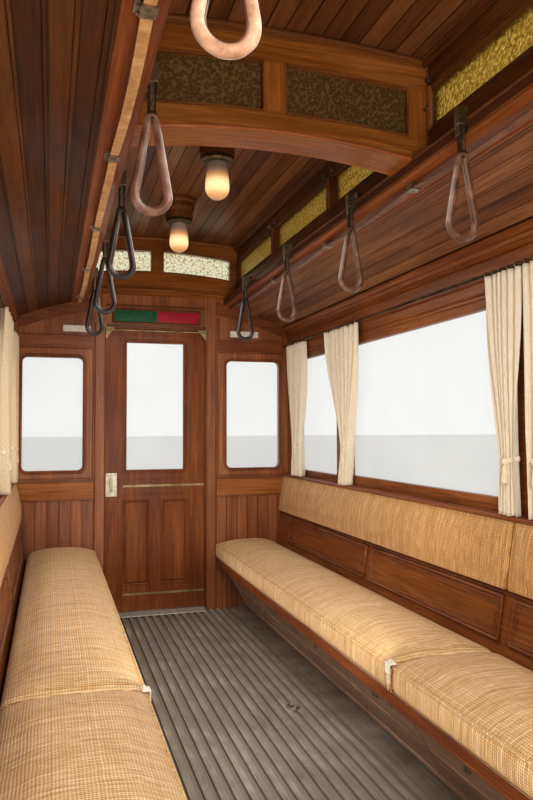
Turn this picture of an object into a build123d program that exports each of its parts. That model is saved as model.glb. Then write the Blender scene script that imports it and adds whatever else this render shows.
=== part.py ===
"""Passenger saloon of a wooden tram: floor, walls, bulkheads with sliding doors, benches and clerestory roof.

Millimetres. +X is the right side, +Y the front end, +Z up. The origin is the centre of the base, under the
sole bars. The rear end is the front end turned half a turn about Z.
"""

import os
from math import asin, cos, pi, sin

from build123d import *

os.makedirs("parts", exist_ok=True)

# Body: the inner length between bulkheads and the inner width between side walls
saloon_length = 5400
saloon_width = 1900
half_length = saloon_length / 2
half_width = saloon_width / 2
wall_thickness = 60
bulkhead_thickness = 50
end_overhang = 110

# Underframe and floor
sole_height = 170
sole_width = 70
bearer_width = 60
bearer_drop = 30
bearer_pitch = 900
bearer_pairs = 2
deck_thickness = 36
slat_height = 14
slat_width = 25
slat_pitch = 50
slat_count = 24

# Heights above the floor's walking surface: belt outside, window sill, then what stacks up from it
belt_height = 905
sill_height = 922
window_height = 848
head_panel = 152
cornice_height = 61
window_head = sill_height + window_height
cornice_foot = window_head + head_panel
eaves_height = cornice_foot + cornice_height

# Side walls: swell below the belt, battens outside, cornice inside
wall_swell = 21
belt_proud = 16
belt_depth = 40
batten_proud = 8
batten_width = 50
batten_pairs = 3
cornice_reach = 38
cornice_lap = 6

# Side windows: from the middle pillar out to the ends
middle_pillar = 60
large_window = 1607
main_pillar = 106
end_pillar = 80
small_end = half_length - end_pillar
small_start = middle_pillar / 2 + large_window + main_pillar
sash_bar = 40
sash_thickness = 34
sash_recess = 8
sash_corner = 18
large_sash_foot = 61
small_sash_foot = 49
glass_thickness = 5

# Lower deck of the roof, on each side of the clerestory, rising from the eaves to the ledge
deck_width = 475
deck_rise = 146
deck_bow = 14.6
ledge_rise = 43
eaves_reach = 90
deck_crown = 37
deck_swell = 30
deck_flashing = 28
deck_edge = half_width - deck_width
deck_edge_height = eaves_height + deck_rise
ledge_height = deck_edge_height + ledge_rise

# Clerestory: sill, lights and frieze stack up from the ledge
ledge_width = 92
clerestory_wall = 45
clerestory_sill_rise = 133
clerestory_light = 140
clerestory_frieze = 113
ceiling_crown = 28
roof_lip = 30
roof_edge = 22
roof_board = 42
clerestory_bays = 6
clerestory_post = 70
seat_gap = 0.3
clerestory_half = deck_edge + ledge_width
clerestory_bay = saloon_length / clerestory_bays
clerestory_sill = ledge_height + clerestory_sill_rise
clerestory_head = clerestory_sill + clerestory_light
clerestory_top = clerestory_head + clerestory_frieze
ceiling_height = clerestory_top + ceiling_crown

# Clerestory end lights and the frame across the middle; rises above the ledge at the centre and at the side
end_frame_proud = 18
end_frame_rise = (35, 0)
light_inner = 40
end_light_margin = 47
end_light_foot = (168, 133)
end_light_head = (318, 280)
middle_frame_thickness = 50
middle_light_margin = 79
middle_light_foot = (128, 105)
middle_light_head = (293, 271)
soffit_width = 150
soffit_thickness = 34
soffit_rise = (34, -6)
end_light_outer = clerestory_half - end_light_margin
middle_light_outer = clerestory_half - middle_light_margin

# Bulkhead: doorway, windows, rail, and grooved boards below the rail
doorway_half = 342
doorway_drop = 38
post_outer = 420
trim_proud = 10
end_window_margin = 62
end_window_width = 401
end_window_foot = 971
end_window_drop = 31
end_window_corner = 40
end_frame_below = 53
end_frame_above = 61
rail_foot = 783
rail_head = 904
bulkhead_boards = 7
board_groove = 5
board_groove_depth = 2.5
board_half = 290
board_rise = 7
board_height = 75
board_thickness = 12
board_corner = 8
doorway_head = eaves_height - doorway_drop
end_window_outer = half_width - end_window_margin
end_window_inner = end_window_outer - end_window_width
end_window_head = window_head - end_window_drop
end_frame_bottom = end_window_foot - end_frame_below
end_frame_top = end_window_head + end_frame_above
board_foot = eaves_height + board_rise

# Sliding door
leaf_overlap = 38
leaf_gap = 8
leaf_thickness = 34
leaf_foot = 8
leaf_lap = 10
leaf_top_rail = 95
leaf_glass_half = 205
leaf_glass_foot = 965
leaf_glass_corner = 12
panel_inner = 46
panel_outer = 220
panel_foot = 190
panel_head = 765
panel_depth = 9
panel_raise = 7
panel_margin = 10
panel_slope = 45
handle_left = -339
handle_width = 74
handle_foot = 795
handle_head = 950
handle_plate = 4
handle_corner = 6
pull_reach = 30
pull_length = 90
pull_width = 16
strip_left = -220
strip_heights = (123, 861)
strip_width = 14
strip_thickness = 2.5
leaf_head = doorway_head + leaf_lap
leaf_glass_head = leaf_head - leaf_top_rail

# Door sill track, top guide and the brass rod under the door head
sill_plate = 3
track_overrun = 20
track_rib_width = 6
track_rib_height = 10
track_clearance = 2
guide_plate = 6
guide_clearance = 8
guide_lap = 25
rod_radius = 5
rod_drop = 17
rod_corner = 60
rod_plate = 4
rod_sink = 2
rod_height = doorway_head - rod_drop

# Bench: reaches from the side wall, heights above the floor
cushion_reach = 545
cushion_foot = 350
cushion_edge = 452
cushion_crown = 466
cushion_round = 22
cushion_split = 6
cushion_gap = 3
cushion_end_gap = 4
bench_rail = 40
bench_rail_reach = 525
bench_board = 24
base_head_reach = 500
base_foot_reach = 307
base_thickness = 24
back_foot_reach = 105
back_head_reach = 15
back_top = 918
back_board = 16
pad_foot = 665
pad_top = 912
pad_thickness = 35
pad_round = 12
back_stile = 70
back_panel_end = 370
back_panel_foot = 480
back_panel_head = 640
back_panel_raise = 6
cushion_front = half_width - cushion_reach
bench_rail_front = half_width - bench_rail_reach
base_head = half_width - base_head_reach
base_foot = half_width - base_foot_reach
back_foot = half_width - back_foot_reach
back_head = half_width - back_head_reach
back_panel_pitch = (half_length - back_panel_end) / 2

# Curtain rod and curtains
curtain_rod_reach = 32
curtain_rod_drop = 74
curtain_rod_radius = 6
arm_foot_radius = 20
arm_foot_thickness = 4
curtain_thickness = 26
curtain_foot = 930
curtain_waist = 1130
curtain_rod_x = half_width - curtain_rod_reach
curtain_rod_height = cornice_foot - curtain_rod_drop

# Hand straps hung from clips on the ledge's edge, and the flat strip in box brackets under the deck
hanging_end = 240
hanging_pairs = 3
strap_inset = 17
strap_drop = 57
strap_length = 272
strap_half = 46
strap_neck = 13
strap_radius = 9
clip_width = 24
clip_margin = 4
clip_fold = 16
clip_thickness = 5
strip_rail_outset = 45
strip_rail_drop = 29
strip_rail_width = 27
strip_rail_thickness = 4
bracket_length = 44
bracket_width = 36
bracket_wall = 4
bracket_drop = 13
hanging_pitch = (half_length - hanging_end) / hanging_pairs
strap_x = deck_edge - strap_inset
strip_rail_x = deck_edge + strip_rail_outset
strap_top = deck_edge_height - strap_drop
strap_bottom = strap_top - strap_length
clip_top = ledge_height - clip_margin
clip_shoulder = clip_top - clip_fold
strip_rail_height = deck_edge_height - strip_rail_drop

# Lamps on the clerestory ceiling, from the ceiling down
lamp_inner = 830
lamp_end = 880
lamp_seat = 1.5
lamp_base_radius = 100
lamp_base_depth = 124
lamp_base_step = 12
lamp_base_rim = 22
lamp_base_waist = 60
lamp_base_foot_rise = 40
lamp_ring_radius = 75
lamp_ring_depth = 26
lamp_ring_rim = 8
lamp_globe_radius = 54
lamp_globe_depth = 166
lamp_globe_neck = 40
lamp_base_lip = 4
lamp_ring_lip = 6
lamp_places = (lamp_inner, half_length - lamp_end)
lamp_base_foot = ceiling_height - lamp_base_depth
lamp_ring_foot = lamp_base_foot - lamp_ring_depth
lamp_globe_foot = lamp_ring_foot - lamp_globe_depth

# Mounts: holes for the truck and for the end platforms
truck_bolt_radius = 11
truck_bolt_spacing = 3200
platform_bolt_radius = 9
platform_bolt_x = 700
platform_bolt_z = 80

# Sizes that follow
deck_top = sole_height + deck_thickness
floor_top = deck_top + slat_height
deck_middle = (deck_edge + half_width) / 2
wall_outer = half_width + wall_thickness
wall_end = half_length + bulkhead_thickness
body_end = wall_end + end_overhang
sole_outer = half_width + sole_width / 2
eaves_outer = half_width + eaves_reach
clerestory_outer = clerestory_half + clerestory_wall
leaf_half = doorway_half + leaf_overlap
track_left = -leaf_half - track_overrun
track_right = sole_outer
trim_face = half_length - trim_proud

SIDES = {"right": 1, "left": -1}
ENDS = {"front": 1, "rear": -1}


def up(height):
    """Height above the base of a height above the floor."""
    return floor_top + height


def end_plane(end, outward=0):
    """Upright plane across the car, facing into the saloon, with its own x to the right as seen from inside."""
    return Plane(origin=(0, end * (half_length + outward), 0), x_dir=(end, 0, 0), z_dir=(0, -end, 0))


def side_plane(side, outward=0):
    """Upright plane along the car at the inner wall face plus outward, with x along +Y and z out through the wall."""
    return Plane(origin=(side * (half_width + outward), 0, 0), x_dir=(0, side, 0), z_dir=(side, 0, 0))


def save(piece, label):
    piece.part.label = label
    export_step(piece.part, f"parts/{label}.step")


def window_table():
    """Openings of one side wall: start, end, glass foot above the sill."""
    large_start = middle_pillar / 2
    large_end = large_start + large_window
    half = [(large_start, large_end, large_sash_foot), (small_start, small_end, small_sash_foot)]
    return half + [(-end, -start, foot) for start, end, foot in half]


def polygon_x(points, side):
    """Closed polyline with its x coordinates on the given side."""
    Polyline(*[(side * x, z) for x, z in points], close=True)


def deck_curve(side, drop=0):
    """Inner surface of the lower deck, from the wall to the edge of the clerestory opening."""
    ThreePointArc(
        (side * half_width, up(eaves_height - drop)),
        (side * deck_middle, up((eaves_height + deck_edge_height) / 2 + deck_bow - drop)),
        (side * deck_edge, up(deck_edge_height - drop)),
    )


def light_face(side, inner, outer, foot, head):
    """One clerestory light between two arcs; foot and head are the rises above the ledge, centre and outer."""
    lean = (outer + inner) / 2 / outer
    middle = side * (inner + outer) / 2
    with BuildSketch() as light:
        with BuildLine():
            low, high = [
                ThreePointArc(
                    (side * inner, up(ledge_height + centre)),
                    (middle, up(ledge_height + centre - (centre - edge) * lean**2)),
                    (side * outer, up(ledge_height + edge)),
                )
                for centre, edge in (foot, head)
            ]
            Line(low @ 0, high @ 0)
            Line(low @ 1, high @ 1)
        make_face()
    return light.sketch


def rectangle(x0, x1, z0, z1, corner=0):
    """Rectangle by its edges, with rounded corners where corner is given."""
    with Locations(((x0 + x1) / 2, (z0 + z1) / 2)):
        if corner:
            RectangleRounded(x1 - x0, z1 - z0, corner)
        else:
            Rectangle(x1 - x0, z1 - z0)


# Sole bars: one under each side wall, drilled for the truck's bolts
with BuildPart() as sole_bars:
    for side in SIDES.values():
        with BuildSketch(Plane.XY):
            with Locations((side * half_width, 0)):
                Rectangle(sole_width, 2 * body_end)
        extrude(amount=sole_height)
    with BuildSketch(Plane.XY):
        with GridLocations(saloon_width, truck_bolt_spacing, 2, 2):
            Circle(truck_bolt_radius)
    extrude(amount=sole_height, mode=Mode.SUBTRACT)
save(sole_bars, "sole_bars")

# Cross-bearers between the sole bars, with an end beam at each end drilled for the platform
bearer_span = saloon_width - sole_width
with BuildPart() as cross_bearers:
    bearer_places = [n * bearer_pitch for n in range(-bearer_pairs, bearer_pairs + 1)]
    for place in bearer_places:
        with BuildSketch(Plane.XY.offset(bearer_drop)):
            with Locations((0, place)):
                Rectangle(bearer_span, bearer_width)
        extrude(amount=sole_height - bearer_drop)
    for end in ENDS.values():
        with BuildSketch(end_plane(end, bulkhead_thickness + end_overhang)):
            rectangle(-bearer_span / 2, bearer_span / 2, 0, sole_height)
            with Locations((0, sole_height / 2)):
                with GridLocations(platform_bolt_x, platform_bolt_z, 2, 2):
                    Circle(platform_bolt_radius, mode=Mode.SUBTRACT)
        extrude(amount=bearer_width)
save(cross_bearers, "cross_bearers")

# Floor: a boarded deck with lengthwise slats, side margins, and a threshold at each doorway
slat_span = slat_count * slat_pitch
with BuildPart() as floor:
    with BuildSketch(Plane.XY.offset(sole_height)):
        Rectangle(saloon_width, 2 * body_end)
    extrude(amount=deck_thickness)
    with BuildSketch(Plane.XY.offset(deck_top)):
        with GridLocations(slat_pitch, 0, slat_count, 1):
            Rectangle(slat_width, 2 * trim_face)
        margin = half_width - slat_span / 2
        for side in SIDES.values():
            with Locations((side * (half_width - margin / 2), 0)):
                Rectangle(margin, saloon_length)
        for end in ENDS.values():
            with Locations((0, end * (half_length + bulkhead_thickness / 2))):
                Rectangle(2 * doorway_half, bulkhead_thickness)
            track_middle = (wall_end + body_end) / 2
            with Locations((end * (track_left + track_right) / 2, end * track_middle)):
                Rectangle(track_right - track_left, end_overhang)
    extrude(amount=slat_height)
save(floor, "floor")

# Side walls: curved below the belt, with four windows cut, a cornice inside and battens outside
def wall_skin(side, proud=0):
    """Outer line of the wall from the sole bar to the belt."""
    ThreePointArc(
        (side * (sole_outer + proud), sole_height),
        (side * (sole_outer + wall_swell + proud), (sole_height + up(belt_height)) / 2),
        (side * (wall_outer + proud), up(belt_height)),
    )


for side_name, side in SIDES.items():
    with BuildPart() as side_wall:
        with BuildSketch(Plane.XZ):
            with BuildLine():
                skin = wall_skin(side)
                Polyline(
                    (side * wall_outer, up(belt_height)),
                    (side * wall_outer, up(eaves_height)),
                    (side * half_width, up(eaves_height)),
                    (side * half_width, sole_height),
                    (side * sole_outer, sole_height),
                )
            make_face()
        extrude(amount=wall_end, both=True)
        with BuildSketch(Plane.XZ):
            belt_foot = up(belt_height - belt_depth)
            with Locations((side * wall_outer, belt_foot + belt_depth / 2)):
                Rectangle(2 * belt_proud, belt_depth)
        extrude(amount=wall_end, both=True)
        for n in range(-batten_pairs, batten_pairs + 1):
            with BuildSketch(Plane.XZ.offset(-n * bearer_pitch)):
                with BuildLine():
                    wall_skin(side, batten_proud)
                    Polyline(
                        (side * (wall_outer + batten_proud), up(belt_height)),
                        (side * half_width, up(belt_height)),
                        (side * half_width, sole_height),
                        (side * (sole_outer + batten_proud), sole_height),
                    )
                make_face()
            extrude(amount=batten_width / 2, both=True)
        with BuildSketch(side_plane(side)):
            for start, finish, foot in window_table():
                rectangle(start, finish, up(sill_height), up(window_head))
        extrude(amount=2 * wall_thickness, both=True, mode=Mode.SUBTRACT)
        with BuildSketch(Plane.XZ):
            cornice = [(0, 0), (0.37, 0), (0.37, 0.23), (0.58, 0.56), (1, 0.95)]
            cornice_points = [
                (half_width - cornice_reach * reach, up(cornice_foot + cornice_height * rise))
                for reach, rise in cornice
            ]
            cornice_points += [(half_width - cornice_reach, up(eaves_height + cornice_lap))]
            with BuildLine():
                polygon_x(cornice_points + [(half_width, up(eaves_height))], side)
            make_face()
        extrude(amount=half_length, both=True)
    save(side_wall, f"side_wall_{side_name}")

    with BuildPart() as window_sashes:
        with BuildSketch(side_plane(side, sash_recess)):
            for start, finish, foot in window_table():
                rectangle(start, finish, up(sill_height), up(window_head))
        extrude(amount=sash_thickness)
        with BuildSketch(side_plane(side, sash_recess)):
            for start, finish, foot in window_table():
                rectangle(
                    start + sash_bar, finish - sash_bar,
                    up(sill_height + foot), up(window_head - sash_bar), sash_corner,
                )
        extrude(amount=sash_thickness, mode=Mode.SUBTRACT)
    save(window_sashes, f"window_sashes_{side_name}")

    with BuildPart() as window_glass:
        with BuildSketch(side_plane(side, sash_recess + (sash_thickness - glass_thickness) / 2)):
            for start, finish, foot in window_table():
                rectangle(
                    start + sash_bar, finish - sash_bar,
                    up(sill_height + foot), up(window_head - sash_bar), sash_corner,
                )
        extrude(amount=glass_thickness)
    save(window_glass, f"window_glass_{side_name}")

# Roof: a lower deck on each side, with its inner edge as a ledge under the clerestory
flashing_top = ledge_height + deck_flashing
for side_name, side in SIDES.items():
    with BuildPart() as roof_deck:
        with BuildSketch(Plane.XZ):
            with BuildLine():
                deck_curve(side)
                Polyline(
                    (side * deck_edge, up(deck_edge_height)),
                    (side * deck_edge, up(ledge_height)),
                    (side * clerestory_outer, up(ledge_height)),
                    (side * clerestory_outer, up(flashing_top)),
                )
                ThreePointArc(
                    (side * clerestory_outer, up(flashing_top)),
                    (
                        side * (clerestory_outer + eaves_outer) / 2,
                        up((flashing_top + eaves_height + deck_crown) / 2 + deck_swell),
                    ),
                    (side * eaves_outer, up(eaves_height + deck_crown)),
                )
                Polyline(
                    (side * eaves_outer, up(eaves_height + deck_crown)),
                    (side * eaves_outer, up(eaves_height)),
                    (side * half_width, up(eaves_height)),
                )
            make_face()
        extrude(amount=body_end, both=True)
    save(roof_deck, f"roof_deck_{side_name}")

    with BuildPart() as clerestory_side:
        with BuildSketch(side_plane(side, clerestory_half - half_width)):
            rectangle(-body_end, body_end, up(ledge_height), up(clerestory_top))
            with Locations((0, up((clerestory_sill + clerestory_head) / 2))):
                with GridLocations(clerestory_bay, 0, clerestory_bays, 1):
                    Rectangle(
                        clerestory_bay - clerestory_post, clerestory_head - clerestory_sill,
                        mode=Mode.SUBTRACT,
                    )
        extrude(amount=clerestory_wall)
    save(clerestory_side, f"clerestory_side_{side_name}")

glass_inset = (clerestory_wall - glass_thickness) / 2
with BuildPart() as clerestory_glass:
    for side in SIDES.values():
        with BuildSketch(side_plane(side, clerestory_half - half_width + glass_inset)):
            with Locations((0, up((clerestory_sill + clerestory_head) / 2))):
                with GridLocations(clerestory_bay, 0, clerestory_bays, 1):
                    Rectangle(clerestory_bay - clerestory_post, clerestory_head - clerestory_sill)
        extrude(amount=glass_thickness)
save(clerestory_glass, "clerestory_glass")

roof_half = clerestory_outer + roof_lip
with BuildPart() as clerestory_roof:
    with BuildSketch(Plane.XZ):
        with BuildLine():
            ThreePointArc(
                (-clerestory_half, up(clerestory_top)),
                (0, up(ceiling_height)),
                (clerestory_half, up(clerestory_top)),
            )
            Polyline(
                (clerestory_half, up(clerestory_top)),
                (roof_half, up(clerestory_top)),
                (roof_half, up(clerestory_top + roof_edge)),
            )
            ThreePointArc(
                (roof_half, up(clerestory_top + roof_edge)),
                (0, up(ceiling_height + roof_board)),
                (-roof_half, up(clerestory_top + roof_edge)),
            )
            Polyline(
                (-roof_half, up(clerestory_top + roof_edge)),
                (-roof_half, up(clerestory_top)),
                (-clerestory_half, up(clerestory_top)),
            )
        make_face()
    extrude(amount=body_end, both=True)
save(clerestory_roof, "clerestory_roof")


def arch_face(centre, edge):
    """Board across the clerestory, from a foot line given by its rises above the ledge up to the ceiling."""
    low, middle = up(ledge_height + edge), up(ledge_height + centre)
    with BuildSketch() as arch:
        with BuildLine():
            head = ThreePointArc(
                (-clerestory_half, up(clerestory_top - seat_gap)),
                (0, up(ceiling_height - seat_gap)),
                (clerestory_half, up(clerestory_top - seat_gap)),
            )
            if centre == edge:
                foot = Line((-clerestory_half, low), (clerestory_half, low))
            else:
                foot = ThreePointArc((-clerestory_half, low), (0, middle), (clerestory_half, low))
            Line(head @ 0, foot @ 0)
            Line(head @ 1, foot @ 1)
        make_face()
    return arch.sketch


# Clerestory ends: a board on top of each bulkhead with a moulded frame and two lights
for end_name, end in ENDS.items():
    with BuildPart() as clerestory_end:
        with BuildSketch(end_plane(end)):
            add(arch_face(0, 0))
        extrude(amount=-bulkhead_thickness)
        with BuildSketch(end_plane(end)):
            add(arch_face(*end_frame_rise))
        extrude(amount=end_frame_proud)
        with BuildSketch(end_plane(end, bulkhead_thickness)):
            for side in SIDES.values():
                add(light_face(side, light_inner, end_light_outer, end_light_foot, end_light_head))
        extrude(amount=bulkhead_thickness + end_frame_proud, mode=Mode.SUBTRACT)
    save(clerestory_end, f"clerestory_end_{end_name}")

with BuildPart() as end_lights:
    for end in ENDS.values():
        with BuildSketch(end_plane(end, bulkhead_thickness / 2)):
            for side in SIDES.values():
                add(light_face(side, light_inner, end_light_outer, end_light_foot, end_light_head))
        extrude(amount=glass_thickness)
save(end_lights, "end_lights")

# Frame across the middle of the clerestory, with its soffit board below
with BuildPart() as middle_frame:
    with BuildSketch(Plane.XZ):
        add(arch_face(*[rise + soffit_thickness / 2 for rise in soffit_rise]))
    extrude(amount=middle_frame_thickness / 2, both=True)
    with BuildSketch(Plane.XZ):
        for side in SIDES.values():
            add(light_face(side, light_inner, middle_light_outer, middle_light_foot, middle_light_head))
    extrude(amount=middle_frame_thickness, both=True, mode=Mode.SUBTRACT)
    soffit_centre, soffit_edge = [ledge_height + rise for rise in soffit_rise]
    with BuildSketch(Plane.XZ):
        with BuildLine():
            low, high = [
                ThreePointArc(
                    (-deck_edge, up(soffit_edge + lift)),
                    (0, up(soffit_centre + lift)),
                    (deck_edge, up(soffit_edge + lift)),
                )
                for lift in (0, soffit_thickness)
            ]
            Line(low @ 0, high @ 0)
            Line(low @ 1, high @ 1)
        make_face()
    extrude(amount=soffit_width / 2, both=True)
save(middle_frame, "middle_frame")

with BuildPart() as middle_lights:
    with BuildSketch(Plane.XZ):
        for side in SIDES.values():
            add(light_face(side, light_inner, middle_light_outer, middle_light_foot, middle_light_head))
    extrude(amount=glass_thickness / 2, both=True)
save(middle_lights, "middle_lights")

# Ends: bulkhead with doorway and windows, its glass, and the sliding door with all that it runs on
board_width = (half_width - post_outer) / bulkhead_boards
groove_places = [post_outer + n * board_width for n in range(1, bulkhead_boards)]


def groove_face(end):
    """V-shaped joint between two boards of a bulkhead, seen from above."""
    with BuildSketch() as groove:
        with BuildLine():
            Polyline(
                (-board_groove / 2, 0), (board_groove / 2, 0), (0, end * board_groove_depth), close=True
            )
        make_face()
    return groove.sketch


for end_name, end in ENDS.items():
    with BuildPart() as bulkhead:
        with BuildSketch(end_plane(end)):
            with BuildLine():
                deck_curve(1, seat_gap)
                deck_curve(-1, seat_gap)
                Polyline(
                    (deck_edge, up(deck_edge_height - seat_gap)),
                    (deck_edge, up(ledge_height)),
                    (-deck_edge, up(ledge_height)),
                    (-deck_edge, up(deck_edge_height - seat_gap)),
                )
                Polyline(
                    (half_width, up(eaves_height - seat_gap)),
                    (half_width, deck_top),
                    (doorway_half, deck_top),
                    (doorway_half, up(doorway_head)),
                    (-doorway_half, up(doorway_head)),
                    (-doorway_half, deck_top),
                    (-half_width, deck_top),
                    (-half_width, up(eaves_height - seat_gap)),
                )
            make_face()
        extrude(amount=-bulkhead_thickness)
        with BuildSketch(end_plane(end)):
            for side in SIDES.values():
                low, high = sorted((side * doorway_half, side * post_outer))
                rectangle(low, high, floor_top, up(eaves_height))
                low, high = sorted((side * post_outer, side * half_width))
                rectangle(low, high, up(rail_foot), up(rail_head))
                rectangle(low, high, up(end_frame_bottom), up(end_frame_top))
        extrude(amount=trim_proud)
        with BuildSketch(end_plane(end, bulkhead_thickness)):
            for side in SIDES.values():
                low, high = sorted((side * end_window_inner, side * end_window_outer))
                rectangle(low, high, up(end_window_foot), up(end_window_head), end_window_corner)
        extrude(amount=bulkhead_thickness + trim_proud, mode=Mode.SUBTRACT)
        with BuildSketch(Plane.XY.offset(deck_top)):
            with Locations(*[(side * x, end * half_length) for side in SIDES.values() for x in groove_places]):
                add(groove_face(end))
        extrude(amount=up(rail_foot) - deck_top, mode=Mode.SUBTRACT)
    save(bulkhead, f"bulkhead_{end_name}")

    leaf_face = bulkhead_thickness + leaf_gap
    with BuildPart() as door_leaf:
        with BuildSketch(end_plane(end, leaf_face)):
            rectangle(-leaf_half, leaf_half, up(leaf_foot), up(leaf_head))
            with Locations((0, up((leaf_glass_foot + leaf_glass_head) / 2))):
                RectangleRounded(
                    2 * leaf_glass_half, leaf_glass_head - leaf_glass_foot, leaf_glass_corner, mode=Mode.SUBTRACT
                )
        extrude(amount=-leaf_thickness)
        for face_plane, direction in (
            (end_plane(end, leaf_face), -1),
            (end_plane(end, leaf_face + leaf_thickness), 1),
        ):
            with BuildSketch(face_plane):
                for side in SIDES.values():
                    low, high = sorted((side * panel_inner, side * panel_outer))
                    rectangle(low, high, up(panel_foot), up(panel_head))
            extrude(amount=direction * panel_depth, mode=Mode.SUBTRACT)
            with BuildSketch(face_plane.offset(direction * panel_depth)):
                for side in SIDES.values():
                    low, high = sorted((side * panel_inner, side * panel_outer))
                    rectangle(
                        low + panel_margin, high - panel_margin,
                        up(panel_foot) + panel_margin, up(panel_head) - panel_margin,
                    )
            extrude(amount=-direction * panel_raise, taper=panel_slope)
        rib_gap = track_rib_width / 2 + track_clearance
        groove_top = floor_top + sill_plate + track_rib_height + seat_gap
        with BuildSketch(end_plane(end, leaf_face + leaf_thickness / 2 - rib_gap)):
            rectangle(-leaf_half, leaf_half, up(leaf_foot), groove_top)
        extrude(amount=-2 * rib_gap, mode=Mode.SUBTRACT)
    save(door_leaf, f"door_leaf_{end_name}")

    with BuildPart() as door_glass:
        with BuildSketch(end_plane(end, leaf_face + (leaf_thickness - glass_thickness) / 2)):
            rectangle(
                -leaf_glass_half, leaf_glass_half, up(leaf_glass_foot), up(leaf_glass_head), leaf_glass_corner
            )
        extrude(amount=-glass_thickness)
    save(door_glass, f"door_glass_{end_name}")

    with BuildPart() as door_fittings:
        handle_right = handle_left + handle_width
        with BuildSketch(end_plane(end, leaf_face)):
            rectangle(handle_left, handle_right, up(handle_foot), up(handle_head), handle_corner)
        extrude(amount=handle_plate)
        pull_middle = (handle_foot + handle_head) / 2
        pull_x = (handle_left + handle_right) / 2
        with BuildSketch(end_plane(end, leaf_face - handle_plate)):
            rectangle(
                pull_x - pull_width / 2, pull_x + pull_width / 2,
                up(pull_middle - pull_length / 2), up(pull_middle + pull_length / 2), handle_corner,
            )
        extrude(amount=pull_reach)
        with BuildSketch(end_plane(end, leaf_face - handle_plate)):
            rectangle(
                pull_x - pull_width / 2, pull_x + pull_width / 2,
                up(pull_middle - pull_length / 2 + pull_width), up(pull_middle + pull_length / 2 - pull_width),
            )
        extrude(amount=pull_reach - pull_width / 2, mode=Mode.SUBTRACT)
        for height in strip_heights:
            with BuildSketch(end_plane(end, leaf_face)):
                rectangle(strip_left, leaf_half, up(height - strip_width / 2), up(height + strip_width / 2))
            extrude(amount=strip_thickness)
    save(door_fittings, f"door_fittings_{end_name}")

    with BuildPart() as door_sill:
        with BuildSketch(Plane.XY.offset(floor_top)):
            with Locations((0, end * (half_length + bulkhead_thickness / 2))):
                Rectangle(2 * doorway_half, bulkhead_thickness)
            plate_reach = leaf_gap + leaf_thickness + guide_clearance + guide_plate
            with Locations((end * (track_left + track_right) / 2, end * (wall_end + plate_reach / 2))):
                Rectangle(track_right - track_left, plate_reach)
        extrude(amount=sill_plate)
        with BuildSketch(Plane.XY.offset(floor_top + sill_plate)):
            rib_y = wall_end + leaf_gap + leaf_thickness / 2
            with Locations((end * (track_left + track_right) / 2, end * rib_y)):
                Rectangle(track_right - track_left, track_rib_width)
        extrude(amount=track_rib_height)
    save(door_sill, f"door_sill_{end_name}")

    with BuildPart() as door_guide:
        guide_top = leaf_head + guide_clearance + guide_plate
        guide_reach = leaf_gap + leaf_thickness + guide_clearance + guide_plate
        with BuildSketch(end_plane(end, bulkhead_thickness)):
            rectangle(track_left, track_right, up(guide_top - guide_plate), up(guide_top))
        extrude(amount=-guide_reach)
        with BuildSketch(end_plane(end, bulkhead_thickness + guide_reach - guide_plate)):
            rectangle(track_left, track_right, up(leaf_head - guide_lap), up(guide_top))
        extrude(amount=-guide_plate)
    save(door_guide, f"door_guide_{end_name}")

with BuildPart() as door_rods:
    for end in ENDS.values():
        with BuildSketch(end_plane(end, -trim_proud)):
            for side in SIDES.values():
                with BuildLine():
                    corner_x = side * (doorway_half + rod_plate)
                    Polyline(
                        (corner_x, up(doorway_head)),
                        (corner_x, up(rod_height - rod_corner)),
                        (corner_x - side * rod_corner, up(doorway_head)),
                        close=True,
                    )
                make_face()
        extrude(amount=rod_plate)
        with BuildSketch(Plane.YZ.offset(-doorway_half)):
            with Locations((end * (trim_face - rod_plate - rod_radius + rod_sink), up(rod_height))):
                Circle(rod_radius)
        extrude(amount=2 * doorway_half)
save(door_rods, "door_rods")

with BuildPart() as bulkhead_glass:
    for end in ENDS.values():
        with BuildSketch(end_plane(end, (bulkhead_thickness + glass_thickness) / 2)):
            for side in SIDES.values():
                low, high = sorted((side * end_window_inner, side * end_window_outer))
                rectangle(low, high, up(end_window_foot), up(end_window_head), end_window_corner)
        extrude(amount=glass_thickness)
save(bulkhead_glass, "bulkhead_glass")

with BuildPart() as route_boards:
    for end in ENDS.values():
        with BuildSketch(end_plane(end)):
            rectangle(-board_half, board_half, up(board_foot), up(board_foot + board_height), board_corner)
        extrude(amount=board_thickness)
save(route_boards, "route_boards")

# Benches: base, back, cushions; then the rod and curtains above them
cushion_length = trim_face - cushion_end_gap - cushion_split / 2
back_slope = (back_head - back_foot) / (back_top - cushion_foot)


def back_x(height):
    """Front face of the back board at a height above the floor."""
    return back_foot + (height - cushion_foot) * back_slope


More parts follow.
